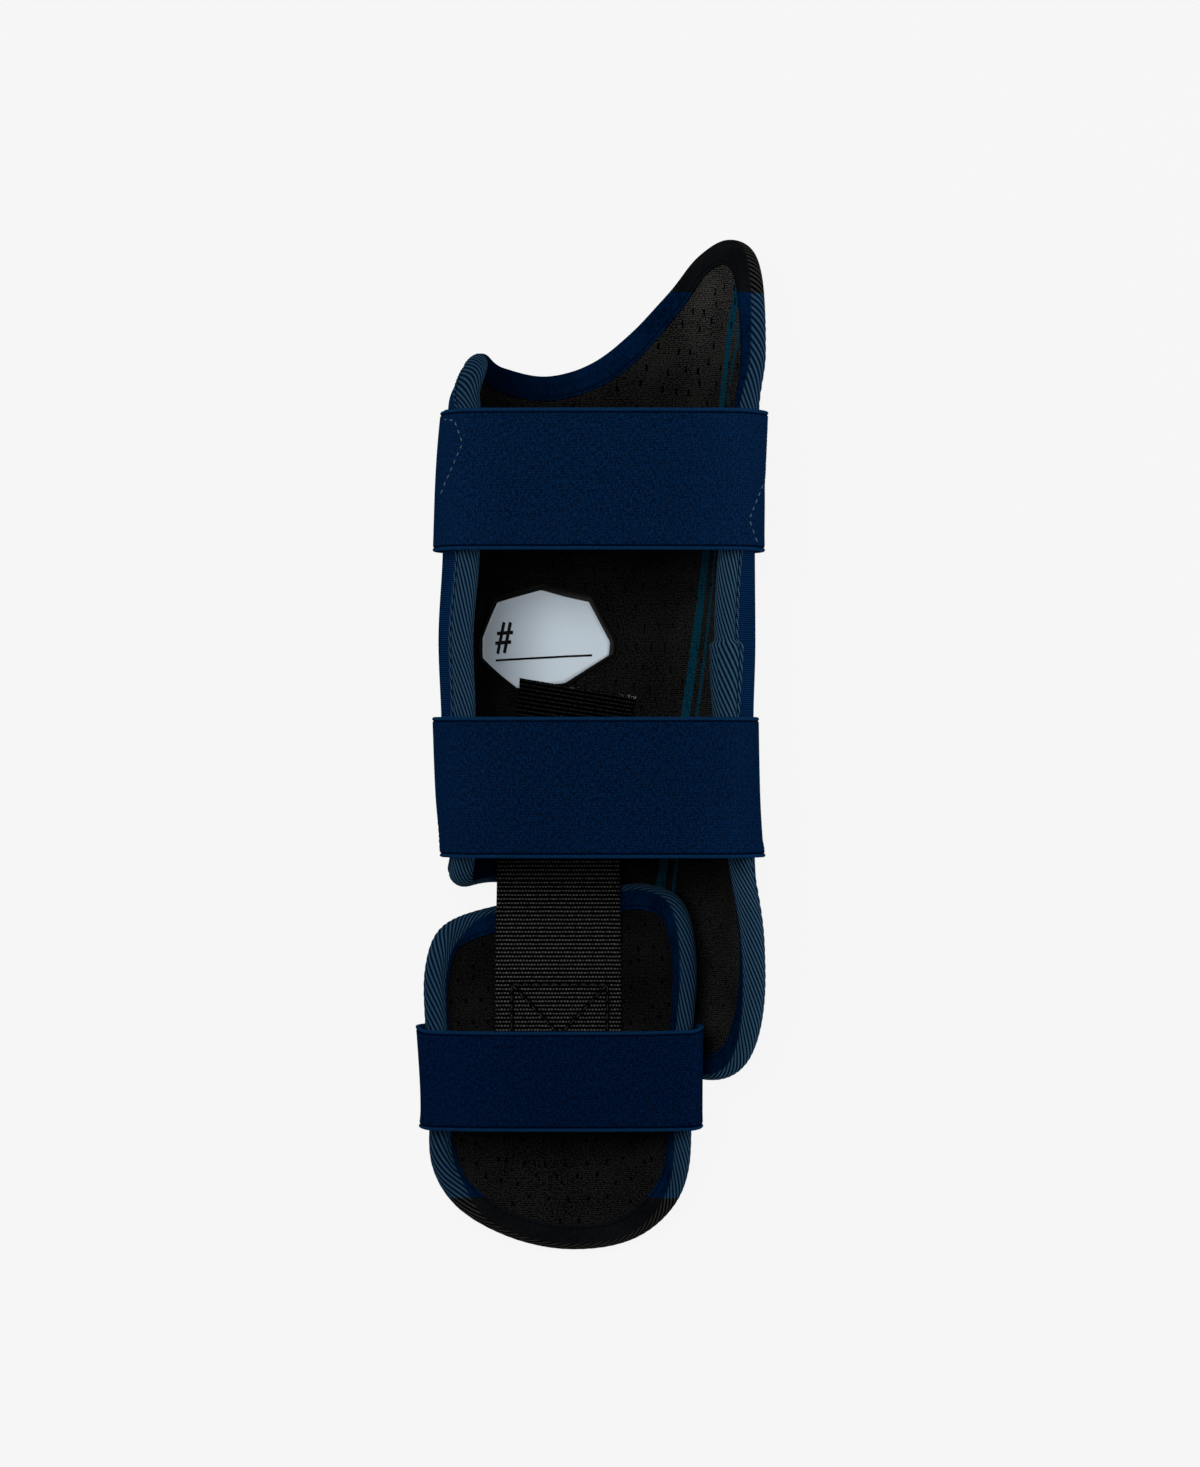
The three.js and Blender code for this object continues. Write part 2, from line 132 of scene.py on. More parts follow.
# Instep guard
INSTEP_MIDDLE = -14.8
INSTEP_FLAT = 20
INSTEP_SECTIONS = [
    Section(-224, -74.5, 44.3, 4.1),
    Section(-209, -74.8, 44.3, 2.7),
    Section(-188, -75, 44.2, 0),
    Section(-160, -71.4, 43, 1.2),
    Section(-130, -72.8, 43.2, 6.2),
    Section(-100, -76, 46.3, 11.8),
    Section(-60, -77, 47.5, 18.5),
]
INSTEP_PATTERN = [
    Point(-59.5, -80.5, "top_left"),
    Point(-28, -70.5),
    Point(5, -66.5),
    Point(38, -61),
    Point(60, -68, "top_right"),
    Point(71, -88),
    Point(73.5, -120),
    Point(72.5, -155),
    Point(67.5, -185),
    Point(57, -201, "bottom_right"),
    Point(33, -217.5),
    Point(3, -222),
    Point(-26, -215.5),
    Point(-53, -200, "bottom_left"),
    Point(-68, -181),
    Point(-75.5, -150),
    Point(-74.5, -118),
    Point(-70.5, -96),
]

# Liner pads: how far they swell, and the slits, painted light and shade and stripes of their knit
PUFF_START = 0.9
PUFF_CAP = 1.1
PUFF_FRAMES = 20
PUFF_PRESSURE = 4.0
SLIT_MARK = "slit"
SLITS = {
    "shin": Slits(wide=1.05, tall=2.8, shown=0.35, more=0.6),
    "instep": Slits(wide=1.3, tall=1.9, shown=0.75, more=0.0),
}
SLITS_SHOW = (115, 160)
SLIT_SPACING = (9.0, 8.7)
SLIT_ROWS = range(-28, 29)
SLIT_COLUMNS = range(-16, 17)
SLIT_DEPTH = 1.3
SLIT_LIP = 0.08
SLIT_CLEAR = 12.5
SLIT_STRAY = 3.0
LINER_FLECK = (0.9, 0.7)
LINER_COURSE = 0.95
COURSE_WANDER = 0.4
LINER_KNIT = {"fleck": 0.75, "courses": 0.1, "blur": 0.15}
LINER_RELIEF = {"fleck": 0.6, "courses": 0.4}
KNIT_RISE = (0.4, 0.6)
# Painted light and shade on the liners: the shin pad darker on its left and middle, lighter on its right
# wall and much lighter at its peak; the instep pad darker towards its top
LINER_PAINTED_LIGHT = {
    "shin": PaintedLight(0.26, 0.22, (25, 65), 0.66, (150, 204)),
    "instep": PaintedLight(0.74, 0.0, (25, 65), -0.34, (-150, -95)),
}
STRIPES = [(38.0, 43.5), (47.5, 49.5)]
STRIPE_SLANT = 0.2
STRIPE_SOFT = 0.15

# Cover of the shells
COVER_RIB = 0.92
COVER_WALE = 1.3
COVER_LOW = 0.8
COVER_SHADE = {"weave": 0.8, "blur": 0.2}

# Number label: black backing, white face and the print on it, on the shin guard's pattern
LABEL_DEPTH = 10.6
BACKING_THICK = 0.35
FACE_GAP = 0.02
FACE_THICK = 0.2
PRINT_GAP = 0.01
PRINT_THICK = 0.05
LABEL_GRID = (32, 20)
PRINT_GRID = (2, 24)
BACKING_PATTERN = [
    Point(-58, 64.5, "top_left"),
    Point(-28, 70.5),
    Point(-4, 65, "top_right"),
    Point(6.5, 46),
    Point(6, 39.5, "bottom_right"),
    Point(-14, 26),
    Point(-42, 22.5, "bottom_left"),
    Point(-72, 38),
    Point(-72, 45.5),
]
FACE_PATTERN = [
    Point(-57.2, 62.1, "top_left"),
    Point(-29.5, 67.8),
    Point(-5.7, 62.6, "top_right"),
    Point(3.6, 45),
    Point(3.1, 39.3, "bottom_right"),
    Point(-16.2, 27),
    Point(-43.7, 24.8, "bottom_left"),
    Point(-69.1, 38),
    Point(-69.1, 46.3),
]
LABEL_PRINT = [
    Stroke((-56.9, 39.7), (-52.4, 53.6), 2.1),
    Stroke((-52.2, 40.0), (-48.1, 53.6), 2.1),
    Stroke((-57.4, 48.6), (-46.4, 49.2), 1.6),
    Stroke((-58.7, 44.3), (-47.6, 45.0), 1.6),
    Stroke((-58.4, 36.8), (-4.3, 39.2), 0.95),
]
FILM_GRAIN = 0.5
FILM_DETAIL = 3.0
FILM_SHADE = {"grain": 0.3, "blur": 0.7}

# Webbing link between the two guards
WEBBING_THICK = 1.6
WEBBING_CLEAR = 0.6
WEBBING_OVER_LABEL = 1
WEBBING_ON_LABEL = (6, 22)
WEBBING_TOP = 25
WEBBING_BOTTOM = -155
WEBBING_CLIMB = (-64, -38)
WEBBING_END_SKEW = 0.165
WEBBING_SKEWED = 60
WEBBING_LINE = [
    Stretch(-155, -15.7, 55),
    Stretch(-108, -15.7, 55),
    Stretch(-50, -15.6, 53.4),
    Stretch(25, -7.2, 51),
]
WARP_COUNT = 40
WARP_PITCH = WEBBING_LINE[0].width / WARP_COUNT
WARP_SAMPLES = 3
UNDER_STEPS = 6
PICK_PITCH = 1.8
PICK_SAMPLES = 4
KNUCKLE_RISE = 0.42
KNUCKLE_BASE = 0.6
KNUCKLE_LOW = 0.35
WEBBING_EDGE = 0.02
WEBBING_EDGE_DROP = 0.5
SEWN_AND_PAINTED_SHADE_MARK = "sewn"
SEWN_SINK = 0.6
SEWN_HALF = 0.9
SEWN_BOX = Box(-20.5, 21.5, -150.0, -105.0)
YARN_LOW = 0.5
KNUCKLE_SHOWS = (0.34, 0.95)
WORN_PATCH = (1.9, 0.9)
WORN_RISE = (0.34, 0.6)
WORN_LOW = 0.3
WEBBING_SHADED = (-30, 16)
WEBBING_SHADE = 0.8
FIBRE_LOW = 0.5
FIBRE_MORE = 0.9

# Loose fibres along the webbing's cut end
FRAY_SEED = 11
FRAY_COUNT = 110
FRAY_THICK = 0.2
FRAY_LENGTH = (0.7, 1.4)
FRAY_CORNER_LENGTH = 0.9
FRAY_CORNER = (0.75, 1.0)
FRAY_ROOT = 1.0
FRAY_LOWEST = 0.3
FRAY_LEAN_ASIDE = (-0.7, 0.9)
FRAY_LEAN_UP = (-0.2, 0.5)

# Elastic straps
STRAP_THICK = 1.8
STRAP_HUG = 0.45
STRAP_STANDOFF = 2.6
STRAP_RISE = (0.2, 0.06)
LIP_TURN = 6
STRAP_BULGE = 2.5
STRAPS = {
    "upper_calf_strap": Strap("shin", 83.4, 144.2, 48, 48, 129, (2.0, 0.8), (2.0, 0.4), (0, 0)),
    "lower_calf_strap": Strap("shin", -48.5, 12, 48, 48, 129, (0.8, 1.6), (1.7, 0), (0, 0)),
    "ankle_strap": Strap("instep", -168.2, -124.3, 35, 66, 86, (0, 0), (0, 0), (1.3, 2.6)),
}
FLARE_DROP = 9
STRAP_COLUMNS = 150
STRAP_NEAR = 0.005
ARC_STEPS = 30
TURN_STEPS = 12
SPAN_STEPS = 30
SELVEDGE = [
    StrapRow(0.0, 0.8),
    StrapRow(0.12, 1.3),
    StrapRow(0.45, 1.75),
    StrapRow(0.9, 1.9),
    StrapRow(1.35, 1.8),
    StrapRow(1.75, 1.35),
    StrapRow(2.2, 1.7),
]
SELVEDGE_WIDE = 2.6
STRAP_UNDER = (0.99, 0.75, 0.5, 0.25, 0.01)
COURSE_PITCH = 0.86
COURSE_RISE = 0.05
COURSE_YARN = (1.4, 0.55)
WALE_PITCH = 0.8
WALE_YARN = (0.55, 2.0)
ELASTIC_FLECK = (0.5, 0.5)
ELASTIC_WEAVE = {"courses": 0.32, "course_waves": 0.06, "wales": 0.32, "wale_waves": 0.06, "flecks": 0.24}
ELASTIC_SHADE = {"weave": 0.82, "blur": 0.1, "ends": 0.14}
WEAVE_RISE = (0.44, 0.56)
STRAP_PALES_PAST = (30, 66)
SELVEDGE_ROLL = (1.2, 1.6)
SELVEDGE_GROOVE = (1.5, 2.3, 0.25)
ROLL_SHARE = 0.6
GROOVE_SHARE = 0.85

# Binding tape folded over a guard's rim
INNER_LAP = 11
OUTER_LAP = 7
TAPE_OUTER = -1.2
TAPE_THICK = 1.2
TAPE_FOLD = 5.0
TAPE_EDGE = 0.6
TAPE_STEP = 1.6
FOLD_STEPS = 12
TAPE_NEAR = 0.4
SEAM_FROM_EDGE = 2.4
SEAM_SINK = 0.45
SEAM_HALF = 0.55
JOIN_HEIGHT = 42.5
JOIN_RISE = 2.2
JOIN_FADE = 50

# Ribs of the binding's twill, and how they are drawn at the peak and on the instep guard's left
RIB_PITCH = 1.6
RIB_SLANT = 0.34
RIB_RISE = 0.16
RIB_SAMPLES = 4
TWILL_START = (8.4, 9.6)
START_MARK = "twill_start"
TOP_START = 6.5
TOP_STARTS_PAST = (-98, -76)
PEAK_START = 4.2
PEAK_STARTS_PAST = (50, 85)
PEAK_STARTS_ABOVE = (110, 160)
INSTEP_START = -5.4
SLIP_MARK = "slip"
PEAK_SLIP = 14.0
PEAK_SLIPS_PAST = (30, 62)
PEAK_SLIPS_ABOVE = (120, 205)
INSTEP_SLIP = 6.0
INSTEP_SLIPS_PAST = (35, 60)
PEAK_LEAN = 12 * RIB_PITCH
PEAK_LEANS = (-30, 60)
LEAN_FLATTENS = 0.08

# Looks of the binding
# lap: the share of its tone that the inner lap keeps under the painted shade on its left
TONES = {
    "shin": Tone(base=0.88, right=0.12, top=-0.26, lap=0.25),
    "instep": Tone(base=0.71, right=0.0, top=0.0, lap=1.0),
}
TWILL_BRIGHT_PAST = (40, 60)
TWILL_DIM_ABOVE = (115, 150)
LAP_PAINTED_SHADE_PAST = (-45, 25)
BLACK_ABOVE = 202.3
BLACK_TILT = 0.081
BLACK_BELOW = -198
BLACK_SOFT = 0.3
RIB_SHOWS = (0.25, 0.8)
DASH_PITCH = 0.95
DASH_SLANT = 0.35
DASH_LOW = 0.6
SEAM_LINE = 0.35
SEAM_SOFT = 0.25
SEWN_DARK = 0.9
LAP_GRAIN = (0.8, 2.6)
LAP_CLOTH = {"fine": 0.6, "blur": 0.4}
LAP_RISE = (0.3, 0.7)
# edge: a painted highlight along the inner lap's free edge; the band next to it holds painted shade along
# the sewn line
LAP_SHADE = {"cloth": 0.7, "edge": 0.3}
LAP_EDGE_HIGHLIGHT = (0.5, 1.1)
LAP_SEAM_SHADE = (1.6, 2.2, 0.2)
LAP_SEAM_SHADE_STRENGTH = 0.7
BINDING_RELIEF = {"ribs": 0.8, "lap": 0.35}

# Stitches: the zigzags near the lips are given as places across and up
STITCH_SIDES = 6
STITCH_RINGS = 4
CHEVRONS = {
    "upper_calf_strap": [
        [(-65.4, 140.0), (-59.8, 139.0), (-56.2, 129.0), (-66.2, 107.1)],
        [(73.0, 112.5), (66.6, 96.7), (70.4, 86.4)],
    ],
}
CHEVRON_STITCH = Stitch(1.9, 1.7, 0.45, STRAP_THICK + 0.1)
BOX_STITCH = Stitch(3.0, 1.0, 0.8, WEBBING_THICK - 0.3)
BINDING_STITCH = 3.4
BINDING_STITCH_THICK = 0.5
BINDING_STITCH_SPAN = (0.12, 0.88)
LAP_STITCH_FROM_EDGE = 1.9
LAP_STITCH_SINK = 0.08

# Dyes, as they show on screen from 0 to 255
STRAP_DYES = {
    "upper_calf_strap": Dye((0, 12, 31), (10, 39, 74)),
    "lower_calf_strap": Dye((0, 10, 28), (8, 35, 69)),
    "ankle_strap": Dye((0, 8, 25), (6, 28, 61)),
}
SELVEDGE_NAVY = (14, 48, 82)
GROOVE_NAVY = (0, 5, 22)
LAP_NAVY = Dye((0, 10, 27), (6, 36, 72))
TWILL_NAVY = Dye((0, 17, 40), (56, 87, 108))
LAP_BLACK = Dye((8, 9, 10), (22, 23, 25))
TWILL_BLACK = Dye((0, 0, 1), (58, 58, 56))
COVER_NAVY = Dye((0, 9, 28), (15, 50, 92))
LINER_DYES = {
    "shin": Dye((3, 3, 3), (60, 59, 58)),
    "instep": Dye((3, 3, 3), (38, 38, 38)),
}
STRIPE_TEAL = Dye((0, 34, 48), (14, 60, 78))
# painted shade inside the liner's slits
SLIT_PAINTED_SHADE = (0, 0, 0)
# the pale end is the painted highlight on the webbing's knuckles
WEBBING_BLACK_AND_HIGHLIGHT = Dye((0, 0, 0), (94, 94, 93))
DARK_THREAD = Dye((0, 5, 16), (1, 15, 36))
PALE_THREAD = Dye((60, 84, 108), (108, 130, 150))
BLACK_THREAD = Dye((8, 8, 8), (40, 40, 40))
LOOSE_FIBRE = Dye((40, 40, 40), (165, 165, 162))
LABEL_BACKING = Dye((6, 6, 7), (14, 14, 15))
LABEL_WHITE = Dye((216, 230, 242), (226, 240, 250))
LABEL_INK = Dye((6, 6, 8), (12, 12, 14))

# Surfaces: the size of their blur, their roughness and the rise of their finest relief
CLOTH_SHEEN = 0.0
FILM_SHEEN = 0.15
THREAD_SHEEN = 0.25
GRAIN_DETAIL = 2.0
ELASTIC = Surface(30.0, 2.0, 0.82, 0.94, 0.14, 0.8)
TWILL = Surface(14.0, 2.0, 0.84, 0.96, 0.15, 0.8)
RIB_KNIT = Surface(18.0, 2.0, 0.84, 0.96, 0.28, 0.9)
LINER_CLOTH = Surface(16.0, 2.0, 0.88, 0.98, 0.25, 0.8)
WEBBING = Surface(0.8, 2.0, 0.6, 0.8, 0.06, 0.6)
DARK_FILM = Surface(22.0, 2.0, 0.5, 0.6, 0.02, 0.5)
WHITE_FILM = Surface(22.0, 2.0, 0.45, 0.55, 0.02, 0.5)
THREAD = Surface(0.25, 1.0, 0.6, 0.8, 0.0, 0.0)

# Stage, in metres and watts, with the camera's sensor and lens in millimetres
FLOOR_SIZE = 60.0
FLOOR_DROP = 0.0002
FLOOR_PAINT = {
    "Base Color": (0.03, 0.03, 0.03, 1.0),
    "Roughness": 0.9,
    "Specular IOR Level": 0.0,
    "Emission Color": (1.0, 1.0, 1.0, 1.0),
    "Emission Strength": 0.9,
}
SKY = {"Color": (1.0, 1.0, 1.0, 1.0), "Strength": 0.1}
SOFTBOXES = [
    Softbox("key", (-0.34, 0.34, 1.6), 0.8, 16.9),
    Softbox("side_fill", (1.2, 0.1, 0.44), 0.6, 6.3),
    Softbox("left_fill", (-1.5, 0.0, 0.1), 0.6, 3.5),
    Softbox("foot_fill", (0.2, -1.5, 0.1), 0.6, 4.5),
    Softbox("knee_fill", (-0.2, 1.5, 0.1), 0.6, 4.5),
]
CAMERA_PLACE = (0.00356, 0.00558, 3.0)
SENSOR = 36.0
LENS = 166.9
CAMERA_REACH = 100.0


def clamp(value, low=0.0, high=1.0):
    return min(max(value, low), high)


def lerp(start, end, share):
    return start + (end - start) * share


def floored(low, share):
    """A share that starts from a low instead of from 0."""
    return low + (1 - low) * share


def smoothstep(value, low, high):
    share = clamp((value - low) / (high - low))
    return share * share * (3 - 2 * share)


def in_frame(x, y, z):
    """A place of the pattern's frame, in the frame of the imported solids."""
    return (Vector((x, y, z)) - FOOTPRINT) * MM


def track(rows, column):
    """A value that follows one column of a table smoothly by height and never swings past its rows."""
    heights = [row.height for row in rows]
    values = [getattr(row, column) for row in rows]
    steps = [b - a for a, b in zip(heights, heights[1:])]
    rises = [(b - a) / step for a, b, step in zip(values, values[1:], steps)]
    slopes = []
    for before, after in zip([rises[0], *rises], [*rises, rises[-1]]):
        slopes.append(2 * before * after / (before + after) if before * after > 0 else 0.0)

    def value(height):
        i = int(clamp(bisect.bisect_right(heights, height) - 1, 0, len(steps) - 1))
        t = clamp((height - heights[i]) / steps[i])
        lead = t * (1 - t) * ((1 - t) * slopes[i] - t * slopes[i + 1]) * steps[i]
        return lerp(values[i], values[i + 1], smoothstep(t, 0, 1)) + lead

    return value


class LegForm:
    """A flat front with a round bend to either side, from which every layer of one guard is rolled."""

    def __init__(self, middle, flat, sections):
        self.middle = middle
        self.flat = flat
        self.left = track(sections, "left")
        self.right = track(sections, "right")
        self.lift = track(sections, "lift")

    def bend(self, side, height):
        """The radius of the bend on one side: below 0 is left."""
        reach = self.middle - self.left(height) if side < 0 else self.right(height) - self.middle
        return reach - self.flat

    def place(self, girth, height, depth):
        lift = self.lift(height)
        if abs(girth) <= self.flat:
            return in_frame(self.middle + girth, height, lift + depth)
        side = math.copysign(1, girth)
        bend = self.bend(side, height)
        angle = (abs(girth) - self.flat) / bend
        across = self.flat + (bend - depth) * math.sin(angle)
        above = lift + bend - (bend - depth) * math.cos(angle)
        return in_frame(self.middle + side * across, height, above)

    def face_at(self, x, height, depth):
        """Height above the surface of the face at one depth, straight above a place on it."""
        past = abs(x - self.middle) - self.flat
        lift = self.lift(height)
        if past <= 0:
            return lift + depth
        bend = self.bend(x - self.middle, height)
        return lift + bend - math.sqrt(max(0.0, (bend - depth) ** 2 - past**2))


class Line:
    """A line of points, measured along its length."""

    def __init__(self, points):
        self.points = points
        self.marks = [0.0]
        for start, end in zip(points, points[1:]):
            self.marks.append(self.marks[-1] + (end - start).length)
        self.length = self.marks[-1]

    def at(self, share):
        reach = clamp(share) * self.length
        i = int(clamp(bisect.bisect_right(self.marks, reach) - 1, 0, len(self.points) - 2))
        part = (reach - self.marks[i]) / (self.marks[i + 1] - self.marks[i])
        return self.points[i].lerp(self.points[i + 1], part)


class Pattern:
    """A closed outline on the flat pattern, clockwise, with four corners that part it into edges."""

    SUBSTEPS = 24
    SPREAD = 2.0

    def __init__(self, outline, corners):
        self.outline = outline
        self.corners = corners
        self.top = self.edge("top_left", "top_right")
        self.right = Line(self.edge("top_right", "bottom_right").points[::-1])
        self.bottom = Line(self.edge("bottom_right", "bottom_left").points[::-1])
        self.left = self.edge("bottom_left", "top_left")
        self.rim = Line([*outline, outline[0]])
        self.near = kdtree.KDTree(len(outline))
        for i, place in enumerate(outline):
            self.near.insert((*place, 0), i)
        self.near.balance()

    @classmethod
    def from_rows(cls, rows, rounded=True):
        places = [Vector((row.girth, row.height)) for row in rows]
        outline = []
        for i, place in enumerate(places):
            ring = [places[i - 1], place, places[(i + 1) % len(places)], places[(i + 2) % len(places)]]
            for step in range(cls.SUBSTEPS):
                share = step / cls.SUBSTEPS
                outline.append(cls.bowed(ring, share) if rounded else place.lerp(ring[2], share))
        corners = {row.corner: i * cls.SUBSTEPS for i, row in enumerate(rows) if row.corner}
        return cls(outline, corners)

    @staticmethod
    def bowed(ring, share):
        """A place between the two middle points of four, on a curve that bows least at short steps."""
        before, step, after = [math.sqrt((b - a).length) for a, b in zip(ring, ring[1:])]
        slope = (ring[2] - ring[1]) / step
        lead = (ring[1] - ring[0]) / before - (ring[2] - ring[0]) / (before + step) + slope
        trail = slope - (ring[3] - ring[1]) / (step + after) + (ring[3] - ring[2]) / after
        turn = (1 - share) * lead - share * trail
        ease = smoothstep(share, 0, 1)
        return ring[1].lerp(ring[2], ease) + turn * (step * share * (1 - share))

    def edge(self, start, end):
        first = self.corners[start]
        count = (self.corners[end] - first) % len(self.outline)
        return Line([self.outline[(first + i) % len(self.outline)] for i in range(count + 1)])

    def inward(self, share):
        """The direction into the pattern at a share of the way round the rim."""
        reach = self.SPREAD / self.rim.length
        along = self.rim.at((share + reach) % 1) - self.rim.at((share - reach) % 1)
        return Vector((along.y, -along.x)).normalized()

    def inset(self, distance):
        """The same outline drawn in by a small distance."""
        shares = [mark / self.rim.length for mark in self.rim.marks[:-1]]
        return Pattern([p + self.inward(s) * distance for p, s in zip(self.outline, shares)], self.corners)

    def spot(self, u, v):
        """The place inside the outline at shares u across and v up."""
        ruled = self.bottom.at(u) * (1 - v) + self.top.at(u) * v
        ruled = ruled + self.left.at(v) * (1 - u) + self.right.at(v) * u
        low = self.bottom.at(0) * (1 - u) + self.bottom.at(1) * u
        high = self.top.at(0) * (1 - u) + self.top.at(1) * u
        return ruled - low * (1 - v) - high * v

    def rim_distance(self, spot):
        return self.near.find((*spot, 0))[2]


SHIN = Guard(
    "shin",
    LegForm(SHIN_MIDDLE, SHIN_FLAT, SHIN_SECTIONS),
    Pattern.from_rows(SHIN_PATTERN),
    SHIN_LAYERS,
    grid=(56, 64),
)
INSTEP = Guard(
    "instep",
    LegForm(INSTEP_MIDDLE, INSTEP_FLAT, INSTEP_SECTIONS),
    Pattern.from_rows(INSTEP_PATTERN),
    INSTEP_LAYERS,
    grid=(32, 30),
)
GUARDS = {guard.name: guard for guard in (SHIN, INSTEP)}
webbing_middle = track(WEBBING_LINE, "x")
webbing_width = track(WEBBING_LINE, "width")


# Shapes
def skin(columns, rows, place, marks=()):
    """A grid whose shares across and up go where place() says, with its cloth laid out in its UV map.

    Where marks are named, place() gives a value more for each, which is kept with the vertex.
    """
    mesh = bmesh.new()
    bmesh.ops.create_grid(mesh, x_segments=columns, y_segments=rows, size=0.5)
    cloth = mesh.loops.layers.uv.new(CLOTH_MAP)
    for mark in marks:
        mesh.verts.layers.float.new(mark)
    kept = [mesh.verts.layers.float[mark] for mark in marks]
    laid = {}
    for vert in mesh.verts:
        u = round((vert.co.x + 0.5) * columns)
        v = round((vert.co.y + 0.5) * rows)
        laid[vert] = place(u / columns, v / rows)
    for face in mesh.faces:
        for loop in face.loops:
            loop[cloth].uv = laid[loop.vert][1]
    for vert, (spot, _, *values) in laid.items():
        vert.co = spot
        for layer, value in zip(kept, values):
            vert[layer] = value
    return mesh


def slab(form, pattern, grid, near, far):
    """A closed slab over a pattern on a form, from the depth that near() gives for a place to a far depth.

    Gives its mesh and the vertices of its near rim and of its far side.
    """
    def face(u, v):
        spot = pattern.spot(u, v)
        return form.place(*spot, near(spot)), spot * MM

    mesh = skin(*grid, face)
    cloth = mesh.loops.layers.uv[CLOTH_MAP]
    rim = [vert for vert in mesh.verts if vert.is_boundary]
    grown = bmesh.ops.extrude_face_region(mesh, geom=mesh.faces[:])
    back = [item for item in grown["geom"] if isinstance(item, bmesh.types.BMVert)]
    for vert in back:
        vert.co = form.place(*(vert.link_loops[0][cloth].uv / MM), far)
    bmesh.ops.recalc_face_normals(mesh, faces=mesh.faces[:])
    return mesh, rim, back


def close_seams(mesh):
    """Joins a grid's edges where they meet and turns its faces outwards."""
    bmesh.ops.remove_doubles(mesh, verts=mesh.verts[:], dist=WELD * MM)
    bmesh.ops.holes_fill(mesh, edges=[edge for edge in mesh.edges if edge.is_boundary], sides=0)
    bmesh.ops.recalc_face_normals(mesh, faces=mesh.faces[:])
    return mesh


def put(name, data):
    """Puts an object in the scene, at the origin."""
    made = bpy.data.objects.new(name, data)
    bpy.context.scene.collection.objects.link(made)
    return made


def piece(name, mesh, finish, slot, *stands_for):
    """Makes a smooth piece of the guard from a bmesh."""
    data = bpy.data.meshes.new(name)
    mesh.to_mesh(data)
    mesh.free()
    data.shade_smooth()
    data.materials.append(finish)
    made = put(name, data)
    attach(made, BODY)
    if stands_for:
        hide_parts(*stands_for)
    return made


# Finishes
def dyed(red, green, blue):
    """A colour given as it shows on screen, from 0 to 255, as linear light."""
    shown = [channel / 255 for channel in (red, green, blue)]
    return (*[s / 12.92 if s <= 0.04045 else ((s + 0.055) / 1.055) ** 2.4 for s in shown], 1.0)


class Wire:
    """An output socket of a finish; arithmetic on it adds Math nodes."""

    def __init__(self, finish, socket):
        self.finish = finish
        self.socket = socket

    def __add__(self, other):
        return self.finish.math("ADD", self, other)

    def __radd__(self, other):
        return self.finish.math("ADD", other, self)

    def __sub__(self, other):
        return self.finish.math("SUBTRACT", self, other)

    def __rsub__(self, other):
        return self.finish.math("SUBTRACT", other, self)

    def __mul__(self, other):
        return self.finish.math("MULTIPLY", self, other)

    def __rmul__(self, other):
        return self.finish.math("MULTIPLY", other, self)

    def __truediv__(self, other):
        return self.finish.math("DIVIDE", self, other)


